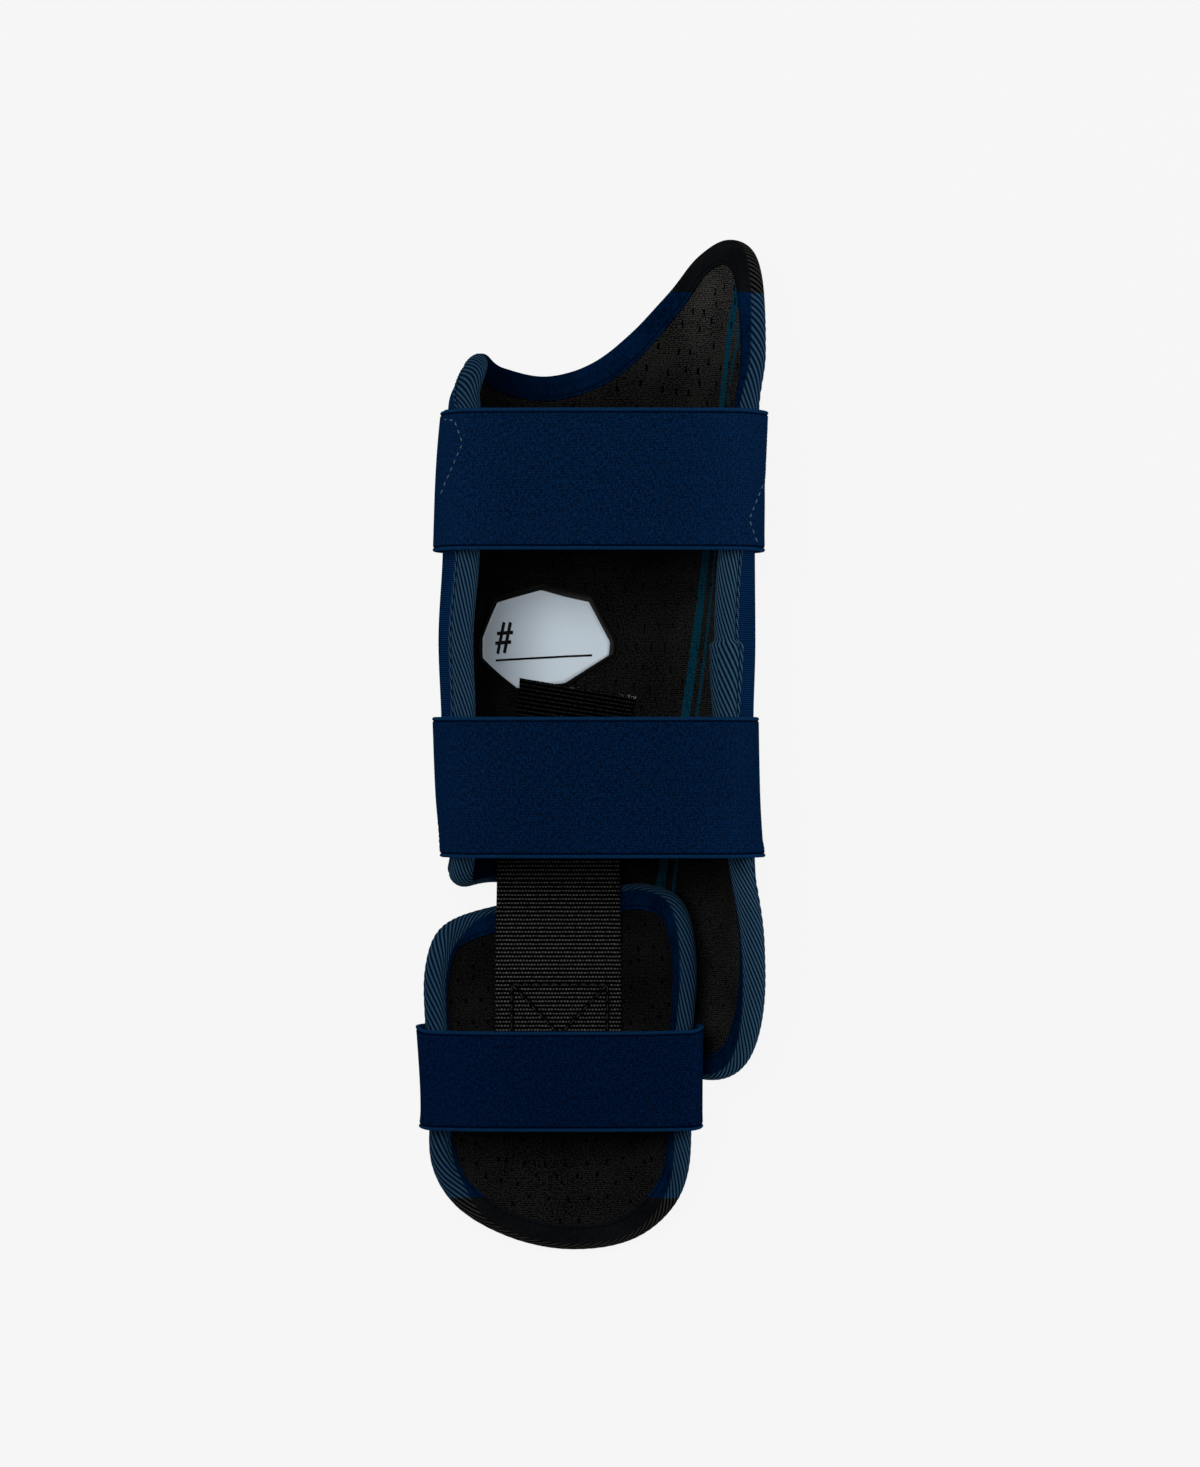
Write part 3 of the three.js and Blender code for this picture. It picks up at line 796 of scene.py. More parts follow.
class Finish:
    """A material: its Principled shader and the nodes that feed it."""

    def __init__(self, name, surface, sheen=CLOTH_SHEEN):
        self.material = bpy.data.materials.new(name)
        self.material.use_nodes = True
        self.tree = self.material.node_tree
        self.shader = self.tree.nodes["Principled BSDF"]
        self.shader.inputs["Specular IOR Level"].default_value = sheen
        self.surface = surface
        self.blur = self.speckle(surface.blur, surface.detail)

    def node(self, kind, settings, sockets, output=0):
        """A node of any kind: its settings first, then the values or wires of its sockets."""
        made = self.tree.nodes.new(kind)
        for setting, value in settings.items():
            setattr(made, setting, value)
        for key, value in sockets.items():
            self.feed(made.inputs[key], value)
        return Wire(self, made.outputs[output])

    def feed(self, socket, value):
        if isinstance(value, Wire):
            self.tree.links.new(value.socket, socket)
        else:
            socket.default_value = value

    def math(self, operation, *values):
        return self.node("ShaderNodeMath", {"operation": operation}, dict(enumerate(values)))

    def attribute(self, mark):
        """A value that the mesh keeps under a name."""
        return self.node("ShaderNodeAttribute", {"attribute_name": mark}, {}, "Fac")

    def cloth(self):
        """The two directions of the cloth, in millimetres."""
        laid = self.node("ShaderNodeUVMap", {"uv_map": CLOTH_MAP}, {})
        return [self.node("ShaderNodeSeparateXYZ", {}, {0: laid}, i) / MM for i in range(2)]

    def place(self):
        """The three directions of the object, in millimetres."""
        spot = self.node("ShaderNodeTexCoord", {}, {}, "Object")
        return [self.node("ShaderNodeSeparateXYZ", {}, {0: spot}, i) / MM for i in range(3)]

    def wave(self, value, pitch):
        """A smooth wave from 0 to 1 and back at every pitch."""
        return self.math("SINE", value * (2 * math.pi / pitch)) * 0.5 + 0.5

    def rise(self, value, low, high):
        """0 below low, 1 above high, and smooth between."""
        ends = {"Value": value, "From Min": low, "From Max": high}
        return self.node("ShaderNodeMapRange", {"interpolation_type": "SMOOTHSTEP"}, ends)

    def step(self, value, at, soft):
        """0 below a value and 1 above it, with a soft edge."""
        return self.rise(value, at - soft, at + soft)

    def band(self, value, low, high, soft):
        """1 from low to high, with soft edges, and 0 elsewhere."""
        return self.step(value, low, soft) * (1 - self.step(value, high, soft))

    def blend(self, weights, **parts):
        """The sum of some parts, each by its weight."""
        first, *others = [part * weights[name] for name, part in parts.items()]
        return sum(others, first)

    def grain(self, across, along, size):
        """Noise drawn out over the cloth, with patches of about the given size, from 0 to 1."""
        spot = self.node("ShaderNodeCombineXYZ", {}, {0: across / size[0], 1: along / size[1]})
        sockets = {"Vector": spot, "Scale": 1.0, "Detail": GRAIN_DETAIL}
        return self.node("ShaderNodeTexNoise", {}, sockets)

    def speckle(self, size, detail):
        """Noise with patches of about the given size, from 0 to 1."""
        spot = self.node("ShaderNodeTexCoord", {}, {}, "Object")
        sockets = {"Vector": spot, "Scale": 1 / (size * MM), "Detail": detail}
        return self.node("ShaderNodeTexNoise", {}, sockets)

    def mix(self, share, low, high):
        return self.node("ShaderNodeMix", {"data_type": "RGBA"}, {0: share, 6: low, 7: high}, 2)

    def dye(self, share, dye):
        return self.mix(share, dyed(*dye.deep), dyed(*dye.pale))

    def done(self, colour, relief=None):
        """Feeds the shader with a colour, its blur's roughness and a relief from 0 to 1."""
        surface = self.surface
        self.feed(self.shader.inputs["Base Color"], colour)
        rough = surface.rough_low + (surface.rough_high - surface.rough_low) * self.blur
        self.feed(self.shader.inputs["Roughness"], rough)
        if relief is not None:
            sockets = {"Height": relief, "Distance": surface.bump * MM, "Strength": surface.strength}
            self.feed(self.shader.inputs["Normal"], self.node("ShaderNodeBump", {}, sockets))
        return self.material


def elastic_finish(name, width):
    """Woven navy elastic with a rolled selvedge along both edges, paler towards the lips."""
    finish = Finish(name, ELASTIC)
    along, across = finish.cloth()
    mixed = finish.blend(
        ELASTIC_WEAVE,
        courses=finish.grain(along, across, COURSE_YARN),
        course_waves=finish.wave(across, COURSE_PITCH),
        wales=finish.grain(along, across, WALE_YARN),
        wale_waves=finish.wave(along, WALE_PITCH),
        flecks=finish.grain(along, across, ELASTIC_FLECK),
    )
    weave = finish.rise(mixed, *WEAVE_RISE)
    aside = finish.place()[0]
    ends = finish.rise(finish.math("ABSOLUTE", aside), *STRAP_PALES_PAST)
    shade = finish.blend(ELASTIC_SHADE, weave=weave, blur=finish.blur, ends=ends)
    from_edge = finish.math("MINIMUM", across, width - across)
    roll = 1 - finish.rise(from_edge, *SELVEDGE_ROLL)
    groove = finish.band(from_edge, *SELVEDGE_GROOVE)
    body = finish.dye(shade, STRAP_DYES[name])
    body = finish.mix(roll * ROLL_SHARE, body, dyed(*SELVEDGE_NAVY))
    return finish.done(finish.mix(groove * GROOVE_SHARE, body, dyed(*GROOVE_NAVY)), weave)


def binding_finish(guard, width):
    """Ribbed twill tape, smooth on its inner lap and sewn near both edges, navy with black ends."""
    finish = Finish(f"{guard.name}_binding_twill", TWILL)
    aside, up, _ = finish.place()
    along, across = finish.cloth()
    tones = TONES[guard.name]
    slipped = across + finish.attribute(SLIP_MARK) * (1 - across / width)
    rib = finish.wave(slipped - along * RIB_SLANT, RIB_PITCH)
    dash = finish.wave(along + across * DASH_SLANT, DASH_PITCH)
    seam = width - SEAM_FROM_EDGE
    sewn = finish.band(across, seam - SEAM_LINE, seam + SEAM_LINE, SEAM_SOFT)
    right = finish.rise(aside, *TWILL_BRIGHT_PAST)
    tone = tones.base + tones.right * right + tones.top * finish.rise(up, *TWILL_DIM_ABOVE)
    thread = finish.rise(rib, *RIB_SHOWS) * floored(DASH_LOW, dash) * (1 - SEWN_DARK * sewn) * tone
    twill = finish.rise(across - finish.attribute(START_MARK), *TWILL_START)
    fine = finish.grain(along, across, LAP_GRAIN)
    cloth = finish.rise(finish.blend(LAP_CLOTH, fine=fine, blur=finish.blur), *LAP_RISE)
    # painted highlight along the inner lap's free edge, then painted shade along its sewn line
    lap = finish.blend(LAP_SHADE, cloth=cloth, edge=1 - finish.rise(across, *LAP_EDGE_HIGHLIGHT))
    lap = lap * (1 - LAP_SEAM_SHADE_STRENGTH * finish.band(across, *LAP_SEAM_SHADE))
    # painted shade: the inner lap darkens towards the left
    lap = lap * floored(tones.lap, finish.rise(aside, *LAP_PAINTED_SHADE_PAST))
    navy = finish.mix(twill, finish.dye(lap, LAP_NAVY), finish.dye(thread, TWILL_NAVY))
    black = finish.mix(twill, finish.dye(lap, LAP_BLACK), finish.dye(thread, TWILL_BLACK))
    peak = finish.step(up + aside * BLACK_TILT, BLACK_ABOVE, BLACK_SOFT)
    toe = 1 - finish.step(up, BLACK_BELOW, BLACK_SOFT)
    relief = finish.blend(BINDING_RELIEF, ribs=twill * dash * rib, lap=(1 - twill) * fine)
    return finish.done(finish.mix(peak + toe, navy, black), relief)


def cover_finish():
    """Navy rib knit over the outside of the shells."""
    finish = Finish("shell_cover", RIB_KNIT)
    girth, height = finish.cloth()
    weave = finish.wave(height, COVER_RIB) * floored(COVER_LOW, finish.wave(girth, COVER_WALE))
    shade = finish.blend(COVER_SHADE, weave=weave, blur=finish.blur)
    return finish.done(finish.dye(shade, COVER_NAVY), weave)


def liner_finish(guard):
    """Charcoal knit with painted light and shade, slits of painted shade, and two slanting teal stripes on
    the shin guard.
    """
    finish = Finish(f"{guard.name}_liner_knit", LINER_CLOTH)
    girth, height = finish.cloth()
    fleck = finish.grain(girth, height, LINER_FLECK)
    courses = finish.wave(height + fleck * COURSE_WANDER, LINER_COURSE)
    mixed = finish.blend(LINER_KNIT, fleck=fleck, courses=courses, blur=finish.blur)
    knit = finish.rise(mixed, *KNIT_RISE)
    painted_light = LINER_PAINTED_LIGHT[guard.name]
    side = finish.rise(girth, *painted_light.side_past)
    # painted light and shade: darker where the walls shade the knit, lighter where light falls on it fully
    wear_and_painted_light = painted_light.base + painted_light.side * side + painted_light.top * finish.rise(height, *painted_light.top_above)
    body = finish.dye(knit * wear_and_painted_light, LINER_DYES[guard.name])
    if guard is SHIN:
        lean = girth - height * STRIPE_SLANT
        wide, narrow = [finish.band(lean, *stripe, STRIPE_SOFT) for stripe in STRIPES]
        body = finish.mix(wide + narrow, body, finish.dye(knit, STRIPE_TEAL))
    # painted shade: the slits' lips, walls and floors are painted near black, more strongly high on the
    # shin guard
    slits = SLITS[guard.name]
    shown = slits.shown + slits.more * finish.rise(height, *SLITS_SHOW)
    colour = finish.mix(finish.attribute(SLIT_MARK) * shown, body, dyed(*SLIT_PAINTED_SHADE))
    return finish.done(colour, finish.blend(LINER_RELIEF, fleck=fleck, courses=courses))


def webbing_finish():
    """Black webbing whose warp yarns stand up as knuckles, half a yarn aside in every other row, with a
    painted highlight on each knuckle and painted shade between them.
    """
    finish = Finish("link_webbing", WEBBING)
    across, along = finish.cloth()
    fibre = finish.blur
    odd = finish.math("FLOORED_MODULO", finish.math("FLOOR", along / PICK_PITCH), 2.0)
    yarn = finish.wave(across + (odd * 0.5 - 0.25) * WARP_PITCH, WARP_PITCH)
    pick = finish.wave(along - PICK_PITCH / 4, PICK_PITCH)
    wear_and_painted_light = finish.rise(finish.grain(across, along, WORN_PATCH), *WORN_RISE)
    knuckle = finish.rise(pick * floored(YARN_LOW, yarn), *KNUCKLE_SHOWS) * floored(WORN_LOW, wear_and_painted_light)
    shade = 1 - WEBBING_SHADE * finish.rise(along, *WEBBING_SHADED)
    sewn = 1 - SEWN_DARK * finish.attribute(SEWN_AND_PAINTED_SHADE_MARK)
    # painted highlight on the knuckles, painted shade between them and more painted shade towards the top
    # end
    light = knuckle * (FIBRE_LOW + FIBRE_MORE * fibre) * shade * sewn
    return finish.done(finish.dye(light, WEBBING_BLACK_AND_HIGHLIGHT), fibre)


def film_finish(name, surface, dye):
    """Coated film with a faint grain."""
    finish = Finish(name, surface, FILM_SHEEN)
    grain = finish.speckle(FILM_GRAIN, FILM_DETAIL)
    shade = finish.blend(FILM_SHADE, grain=grain, blur=finish.blur)
    return finish.done(finish.dye(shade, dye), grain)


def thread_finish(name, dye, sheen=THREAD_SHEEN):
    """Twisted sewing thread."""
    finish = Finish(name, THREAD, sheen)
    return finish.done(finish.dye(finish.blur, dye))


# Shells and liners
def make_shell(guard, finish):
    cut = guard.pattern.inset(RIM_TRIM)
    grid = [count * SHELL_FINER for count in guard.grid]
    mesh = slab(guard.form, cut, grid, lambda spot: 0.0, SHELL_THICK)[0]
    piece(f"{guard.name}_shell_cover", mesh, finish, "shell", f"{guard.name}_shell")


def puff(mesh, held):
    """Swells a padded form in a cloth simulation that keeps its held vertices."""
    mesh.verts.index_update()
    data = bpy.data.meshes.new("pad_form")
    mesh.to_mesh(data)
    pad = put("pad_form", data)
    scene = bpy.context.scene
    pins = pad.vertex_groups.new(name="held")
    pins.add([vert.index for vert in held], 1.0, "REPLACE")
    cloth = pad.modifiers.new("cloth", "CLOTH")
    cloth.settings.vertex_group_mass = pins.name
    cloth.settings.use_pressure = True
    cloth.settings.uniform_pressure_force = PUFF_PRESSURE
    cloth.settings.effector_weights.gravity = 0
    cloth.point_cache.frame_end = PUFF_FRAMES
    for number in range(1, PUFF_FRAMES + 1):
        scene.frame_set(number)
    swollen = pad.evaluated_get(bpy.context.evaluated_depsgraph_get())
    moved = [vert.co.copy() for vert in swollen.data.vertices]
    mesh.verts.ensure_lookup_table()
    for vert, spot in zip(mesh.verts, moved):
        step = spot - vert.co
        vert.co += step * min(1.0, PUFF_CAP * MM / max(step.length, MM * MM))
    scene.frame_set(1)
    bpy.data.objects.remove(pad)


def make_liner(guard, finish):
    layers = guard.layers

    def depth(spot):
        padded = smoothstep(guard.pattern.rim_distance(spot), *PAD_RISE)
        return lerp(layers.liner_edge, layers.liner - PUFF_START, padded)

    cut = guard.pattern.inset(RIM_TRIM)
    mesh, rim, back = slab(guard.form, cut, guard.grid, depth, SHELL_THICK + LAYER_GAP)
    puff(mesh, [*rim, *back])
    cut_slits(mesh, guard, set(back))
    made = piece(f"{guard.name}_liner_pad", mesh, finish, "liner", f"{guard.name}_liner")


def middle_of_cloth(face, cloth):
    return sum((loop[cloth].uv for loop in face.loops), Vector((0, 0))) / len(face.loops)


def cut_slits(mesh, guard, back):
    """Small upright slits in the liner's knit, in staggered rows: each is sunk in the middle of a face."""
    cloth = mesh.loops.layers.uv[CLOTH_MAP]
    mark = mesh.faces.layers.float.new(SLIT_MARK)
    front = [face for face in mesh.faces if not back.intersection(face.verts)]
    near = kdtree.KDTree(len(front))
    for i, face in enumerate(front):
        near.insert((*(middle_of_cloth(face, cloth) / MM), 0), i)
    near.balance()
    chosen = {}
    for row in SLIT_ROWS:
        for column in SLIT_COLUMNS:
            spot = Vector(((column + 0.5 * (row % 2)) * SLIT_SPACING[0], row * SLIT_SPACING[1]))
            _, i, distance = near.find((*spot, 0))
            if distance < SLIT_STRAY and guard.pattern.rim_distance(spot) > SLIT_CLEAR:
                chosen[i] = front[i]
    holes = list(chosen.values())
    lip = SLIT_LIP * MM
    bmesh.ops.inset_individual(mesh, faces=holes, thickness=lip, depth=0.0)
    for face in holes:
        draw_slit(face, cloth, SLITS[guard.name])
    lips = bmesh.ops.inset_individual(mesh, faces=holes, thickness=lip, depth=0.0)
    walls = bmesh.ops.inset_individual(mesh, faces=holes, thickness=lip, depth=-SLIT_DEPTH * MM)
    # these faces carry the painted shade of the slit in the liner's finish
    for face in [*lips["faces"], *walls["faces"], *holes]:
        face[mark] = 1.0


def draw_slit(face, cloth, slits):
    """Moves a face's four corners to an upright slit about its middle, and their cloth with them."""
    middle = face.calc_center_median()
    laid = middle_of_cloth(face, cloth)
    up = Vector((0, 1, 0))
    up = (up - face.normal * up.dot(face.normal)).normalized()
    aside = up.cross(face.normal)
    corners = []
    for across, above in ((-1, -1), (1, -1), (1, 1), (-1, 1)):
        shift = Vector((across * slits.wide, above * slits.tall)) * MM / 2
        corners.append((middle + aside * shift.x + up * shift.y, laid + shift))
    verts = [loop.vert for loop in face.loops]
    turns = [corners[i:] + corners[:i] for i in range(4)]

    def travel(turn):
        return sum((vert.co - spot).length for vert, (spot, _) in zip(verts, turn))

    for vert, (spot, on_cloth) in zip(verts, min(turns, key=travel)):
        vert.co = spot
        for loop in vert.link_loops:
            loop[cloth].uv = on_cloth


# Binding
def tape_section(layers):
    """Rows of the tape's section, with the direction out of its face and the distance across it.

    They run from the free edge of the inner lap, round the rim, to the free edge of the outer lap and back
    along the hidden face, which has no direction out.
    """
    face, outer, edge = layers.tape, TAPE_OUTER, TAPE_EDGE
    fold = min(TAPE_FOLD, (face - outer) / 2)
    line = [Vector((INNER_LAP, face - edge))]
    arcs = [
        (Vector((INNER_LAP - edge, face - edge)), edge, 0, 90),
        (Vector((fold, face - fold)), fold, 90, 180),
        (Vector((fold, outer + fold)), fold, 180, 270),
        (Vector((OUTER_LAP - edge, outer + edge)), edge, 270, 360),
    ]
    for centre, radius, start, end in arcs:
        for step in range(1, FOLD_STEPS + 1):
            angle = math.radians(lerp(start, end, step / FOLD_STEPS))
            line.append(centre + radius * Vector((math.cos(angle), math.sin(angle))))
    shown = Line(line)
    count = round(shown.length / RIB_PITCH * RIB_SAMPLES)
    near = TAPE_NEAR / count
    rows = []
    for i in range(count + 1):
        share = i / count
        along = shown.at(share + near) - shown.at(share - near)
        out = Vector((along.y, -along.x)).normalized()
        rows.append(TapeRow(*shown.at(share), out, share * shown.length))
    hidden = [
        (OUTER_LAP, outer + TAPE_THICK),
        (fold, outer + TAPE_THICK),
        (TAPE_THICK, outer + fold),
        (TAPE_THICK, face - fold),
        (fold, face - TAPE_THICK),
        (INNER_LAP, face - TAPE_THICK),
    ]
    rows.extend(TapeRow(inward, depth, Vector((0, 0)), shown.length) for inward, depth in hidden)
    return rows


def twill_slip(guard, spot):
    """How far the ribs are drawn on across the tape, most at the inner lap's edge."""
    if guard is SHIN:
        return PEAK_SLIP * smoothstep(spot.x, *PEAK_SLIPS_PAST) * smoothstep(spot.y, *PEAK_SLIPS_ABOVE)
    return INSTEP_SLIP * smoothstep(-spot.x, *INSTEP_SLIPS_PAST)


def twill_start(guard, spot):
    """How much further across the tape than usual its twill starts."""
    if guard is SHIN:
        most = lerp(TOP_START, PEAK_START, smoothstep(spot.x, *PEAK_STARTS_PAST))
        return most * smoothstep(spot.x, *TOP_STARTS_PAST) * smoothstep(spot.y, *PEAK_STARTS_ABOVE)
    return INSTEP_START * smoothstep(-spot.x, *INSTEP_SLIPS_PAST)


def make_binding(guard):
    rim, form = guard.pattern.rim, guard.form
    rows = tape_section(guard.layers)
    width = rows[-1].across
    columns = round(rim.length / TAPE_STEP)
    shares = [i / columns for i in range(columns + 1)]
    spots = [(rim.at(share), guard.pattern.inward(share % 1)) for share in shares]
    repeats = round(rim.length * RIB_SLANT / RIB_PITCH)
    slant = repeats * RIB_PITCH / rim.length
    top = max(shares, key=lambda share: rim.at(share).y) * rim.length
    right_side = [share for share in shares if rim.at(share).x > 0]
    join = min(right_side, key=lambda share: abs(rim.at(share).y - JOIN_HEIGHT)) * rim.length

    def lean(along):
        """How far the ribs are drawn on along the tape once they are past the shin guard's peak."""
        return PEAK_LEAN * smoothstep(along - top, *PEAK_LEANS) if guard is SHIN else 0.0

    def relief(along, across, start, slipped):
        """How far the tape's ribs, its sewn groove and its doubled end stand out of its face."""
        turned = lean(along) / PEAK_LEAN
        flattened = smoothstep(turned * (1 - turned), 0, LEAN_FLATTENS)
        twill = smoothstep(across - start, *TWILL_START) * (1 - flattened)
        rib = math.sin(2 * math.pi * (slipped - along * slant - lean(along)) / RIB_PITCH)
        seam = math.exp(-(((width - SEAM_FROM_EDGE - across) / SEAM_HALF) ** 2))
        past = (along - join) % rim.length
        doubled = JOIN_RISE * (1 - smoothstep(past, 0, JOIN_FADE)) if guard is SHIN else 0.0
        return twill * RIB_RISE * rib * (1 - seam) - SEAM_SINK * seam + doubled

    def place(u, v):
        spot, inward = spots[round(u * columns)]
        row = rows[round(v * len(rows)) % len(rows)]
        along = u * rim.length
        across = row.across if v < 1 else 0.0
        start = twill_start(guard, spot)
        slip = twill_slip(guard, spot)
        slipped = across + slip * (1 - across / width)
        rise = relief(along, across, start, slipped) if row.out.length else 0.0
        at = spot + inward * (row.inward + row.out.x * rise)
        laid = Vector(((along * slant + lean(along)) / RIB_SLANT, across)) * MM
        return form.place(*at, row.depth + row.out.y * rise), laid, start, slip

    mesh = close_seams(skin(columns, len(rows), place, (START_MARK, SLIP_MARK)))
    finish = binding_finish(guard, width)
    piece(f"{guard.name}_binding_tape", mesh, finish, "binding", f"{guard.name}_binding")


# Straps
def lip_angle(guard, side, height):
    """The angle round a guard's bend at which its lip ends, at one height."""
    edge = guard.pattern.left if side < 0 else guard.pattern.right
    i = bisect.bisect_left([place.y for place in edge.points], height)
    place = edge.points[int(clamp(i, 0, len(edge.points) - 1))]
    return (abs(place.x) - guard.form.flat) / guard.form.bend(side, height)


def strap_line(strap, height):
    """A strap's under face in the section at one height: up one side, over the lips and down the other."""
    guard = GUARDS[strap.guard]
    form = guard.form
    turn = math.radians(strap.turn)

    def turned(centre, side, radius, angle):
        return centre + Vector((side * radius * math.sin(angle), -radius * math.cos(angle)))

    def climb(side, tail, slack):
        bend = form.bend(side, height) + lerp(*slack, (height - strap.low) / (strap.high - strap.low))
        pivot = Vector((form.middle + side * form.flat, form.lift(height) + bend))
        lap = lip_angle(guard, side, height) - OUTER_LAP / bend
        points = []
        for i in range(ARC_STEPS + 1):
            angle = lerp(math.radians(tail), turn, i / ARC_STEPS)
            over_lap = smoothstep(angle, lap - STRAP_RISE[0], lap - STRAP_RISE[1])
            points.append(turned(pivot, side, bend + lerp(STRAP_HUG, STRAP_STANDOFF, over_lap), angle))
        lip = turned(pivot, side, bend + STRAP_STANDOFF - LIP_TURN, turn)
        for i in range(1, TURN_STEPS + 1):
            points.append(turned(lip, side, LIP_TURN, lerp(turn, math.pi, i / TURN_STEPS)))
        return points

    left = climb(-1, strap.left_tail, strap.left_slack)
    right = climb(1, strap.right_tail, strap.right_slack)[::-1]
    span = []
    for i in range(1, SPAN_STEPS):
        share = i / SPAN_STEPS
        bulge = STRAP_BULGE * 4 * share * (1 - share)
        span.append(left[-1].lerp(right[0], share) + Vector((0, bulge)))
    return Line([*left, *span, *right])


def strap_section(width):
    """A strap's section as places across it and rises above its under face, over the top and back."""
    rows = list(SELVEDGE)
    count = round((width - 2 * SELVEDGE_WIDE) / COURSE_PITCH * 2)
    for i in range(count + 1):
        course = COURSE_RISE if i % 2 else -COURSE_RISE
        across = lerp(SELVEDGE_WIDE, width - SELVEDGE_WIDE, i / count)
        rows.append(StrapRow(across, STRAP_THICK + course))
    rows.extend(StrapRow(width - row.across, row.above) for row in SELVEDGE[::-1])
    rows.extend(StrapRow(width * share, 0.0) for share in STRAP_UNDER)
    return rows


def make_strap(name, strap):
    width = strap.high - strap.low
    rows = strap_section(width)
    lines = [strap_line(strap, strap.low + row.across) for row in rows]

    def place(u, v):
        i = round(v * len(rows)) % len(rows)
        row, line = rows[i], lines[i]
        base = line.at(u)
        along = line.at(u + STRAP_NEAR) - line.at(u - STRAP_NEAR)
        out = Vector((-along.y, along.x)).normalized() * row.above
        drop = smoothstep(line.at(0.5).y - base.y, 0, FLARE_DROP)
        flare = drop * lerp(*strap.flare, row.across / width)
        spot = in_frame(base.x + out.x, strap.low + row.across + flare, base.y + out.y)
        return spot, Vector((u * line.length, row.across)) * MM

    mesh = close_seams(skin(STRAP_COLUMNS, len(rows), place))
    piece(f"{name}_elastic", mesh, elastic_finish(name, width), "elastic", name)


# Webbing link
def webbing_spot(u, straight, above):
    """A place on the webbing at a share across and a height along it, above its under face."""
    across = (u - 0.5) * webbing_width(straight)
    skewed = smoothstep(straight, WEBBING_TOP - WEBBING_SKEWED, WEBBING_TOP)
    height = straight - across * WEBBING_END_SKEW * skewed
    x = webbing_middle(height) + across
    rise = WEBBING_CLEAR + WEBBING_OVER_LABEL * smoothstep(height, *WEBBING_ON_LABEL)
    on_shin = SHIN.form.face_at(x, height, SHIN_LAYERS.liner + rise)
    on_instep = INSTEP.form.face_at(x, height, INSTEP_LAYERS.liner + WEBBING_CLEAR)
    climbed = 1 - smoothstep(height, *WEBBING_CLIMB)
    return in_frame(x, height, lerp(on_shin, on_instep, climbed) + above)


def box_lines():
    """The sides and the cross of the sewn box, as places across and along the webbing."""
    left, right, low, high = SEWN_BOX
    corners = [Vector(corner) for corner in ((left, high), (right, high), (right, low), (left, low))]
    sides = [(corners[i], corners[(i + 1) % 4]) for i in range(4)]
    return [*sides, (corners[0], corners[2]), (corners[1], corners[3])]


def make_webbing(finish, seams):
    count = WARP_COUNT * WARP_SAMPLES
    rows = [WebbingRow(i / count, WEBBING_THICK, True) for i in range(count + 1)]
    rows.extend(WebbingRow(1 - i / UNDER_STEPS, 0.0, False) for i in range(UNDER_STEPS + 1))
    length = WEBBING_TOP - WEBBING_BOTTOM
    columns = round(length / PICK_PITCH * PICK_SAMPLES)

    def seam_distance(share, straight):
        """How far a place on the webbing lies from the sewn box."""
        spot = Vector(((share - 0.5) * webbing_width(straight), straight))
        gaps = []
        for start, end in seams:
            along = clamp(intersect_point_line(spot, start, end)[1])
            gaps.append((spot - start.lerp(end, along)).length)
        return min(gaps)

    def knuckle(share, straight):
        """How far a warp yarn stands up where it passes over the weft."""
        odd = math.floor(straight / PICK_PITCH) % 2
        yarn = abs(math.sin(math.pi * (share * WARP_COUNT + 0.5 * odd)))
        pick = abs(math.sin(math.pi * straight / PICK_PITCH))
        edge = smoothstep(min(share, 1 - share), 0, WEBBING_EDGE)
        sunk = SEWN_SINK * (1 - smoothstep(seam_distance(share, straight), 0, 2 * SEWN_HALF))
        stands = KNUCKLE_RISE * (floored(KNUCKLE_LOW, yarn) * pick - KNUCKLE_BASE)
        return stands * edge - WEBBING_EDGE_DROP * (1 - edge) - sunk

    def place(u, v):
        row = rows[round(v * len(rows)) % len(rows)]
        straight = WEBBING_BOTTOM + u * length
        above = row.above + (knuckle(row.share, straight) if row.woven else 0.0)
        laid = Vector((row.share * WARP_COUNT * WARP_PITCH, straight)) * MM
        return webbing_spot(row.share, straight, above), laid

    mesh = close_seams(skin(columns, len(rows), place))
    cloth = mesh.loops.layers.uv[CLOTH_MAP]
    mark = mesh.faces.layers.float.new(SEWN_AND_PAINTED_SHADE_MARK)
    for face in mesh.faces:
        laid = face.loops[0][cloth].uv / MM
        sewn = seam_distance(laid.x / (WARP_COUNT * WARP_PITCH), laid.y) < SEWN_HALF
        # the cut end's cap is marked as well: painted shade over the end, which faces the light
        cut_end = len(face.verts) > 4
        face[mark] = float(sewn or cut_end)
    piece("link_webbing_weave", mesh, finish, "webbing", "link_webbing")


# Number label
def film(outline, depth, thick, grid):
    """A thin film with straight edges, laid on the shin guard's form at a depth."""
    pattern = Pattern.from_rows(outline, rounded=False)
    return slab(SHIN.form, pattern, grid, lambda spot: depth, depth + thick)[0]


def stroke_outline(stroke):
    """The four corners of a printed stroke, clockwise."""
    start, end = Vector(stroke.start), Vector(stroke.end)
    side = (end - start).orthogonal().normalized() * stroke.width / 2
    places = [end + side, end - side, start - side, start + side]
    if (places[1] - places[0]).cross(places[2] - places[1]) > 0:
        places = [end - side, end + side, start + side, start - side]
    corners = ["top_left", "top_right", "bottom_right", "bottom_left"]
    return [Point(*place, corner) for place, corner in zip(places, corners)]


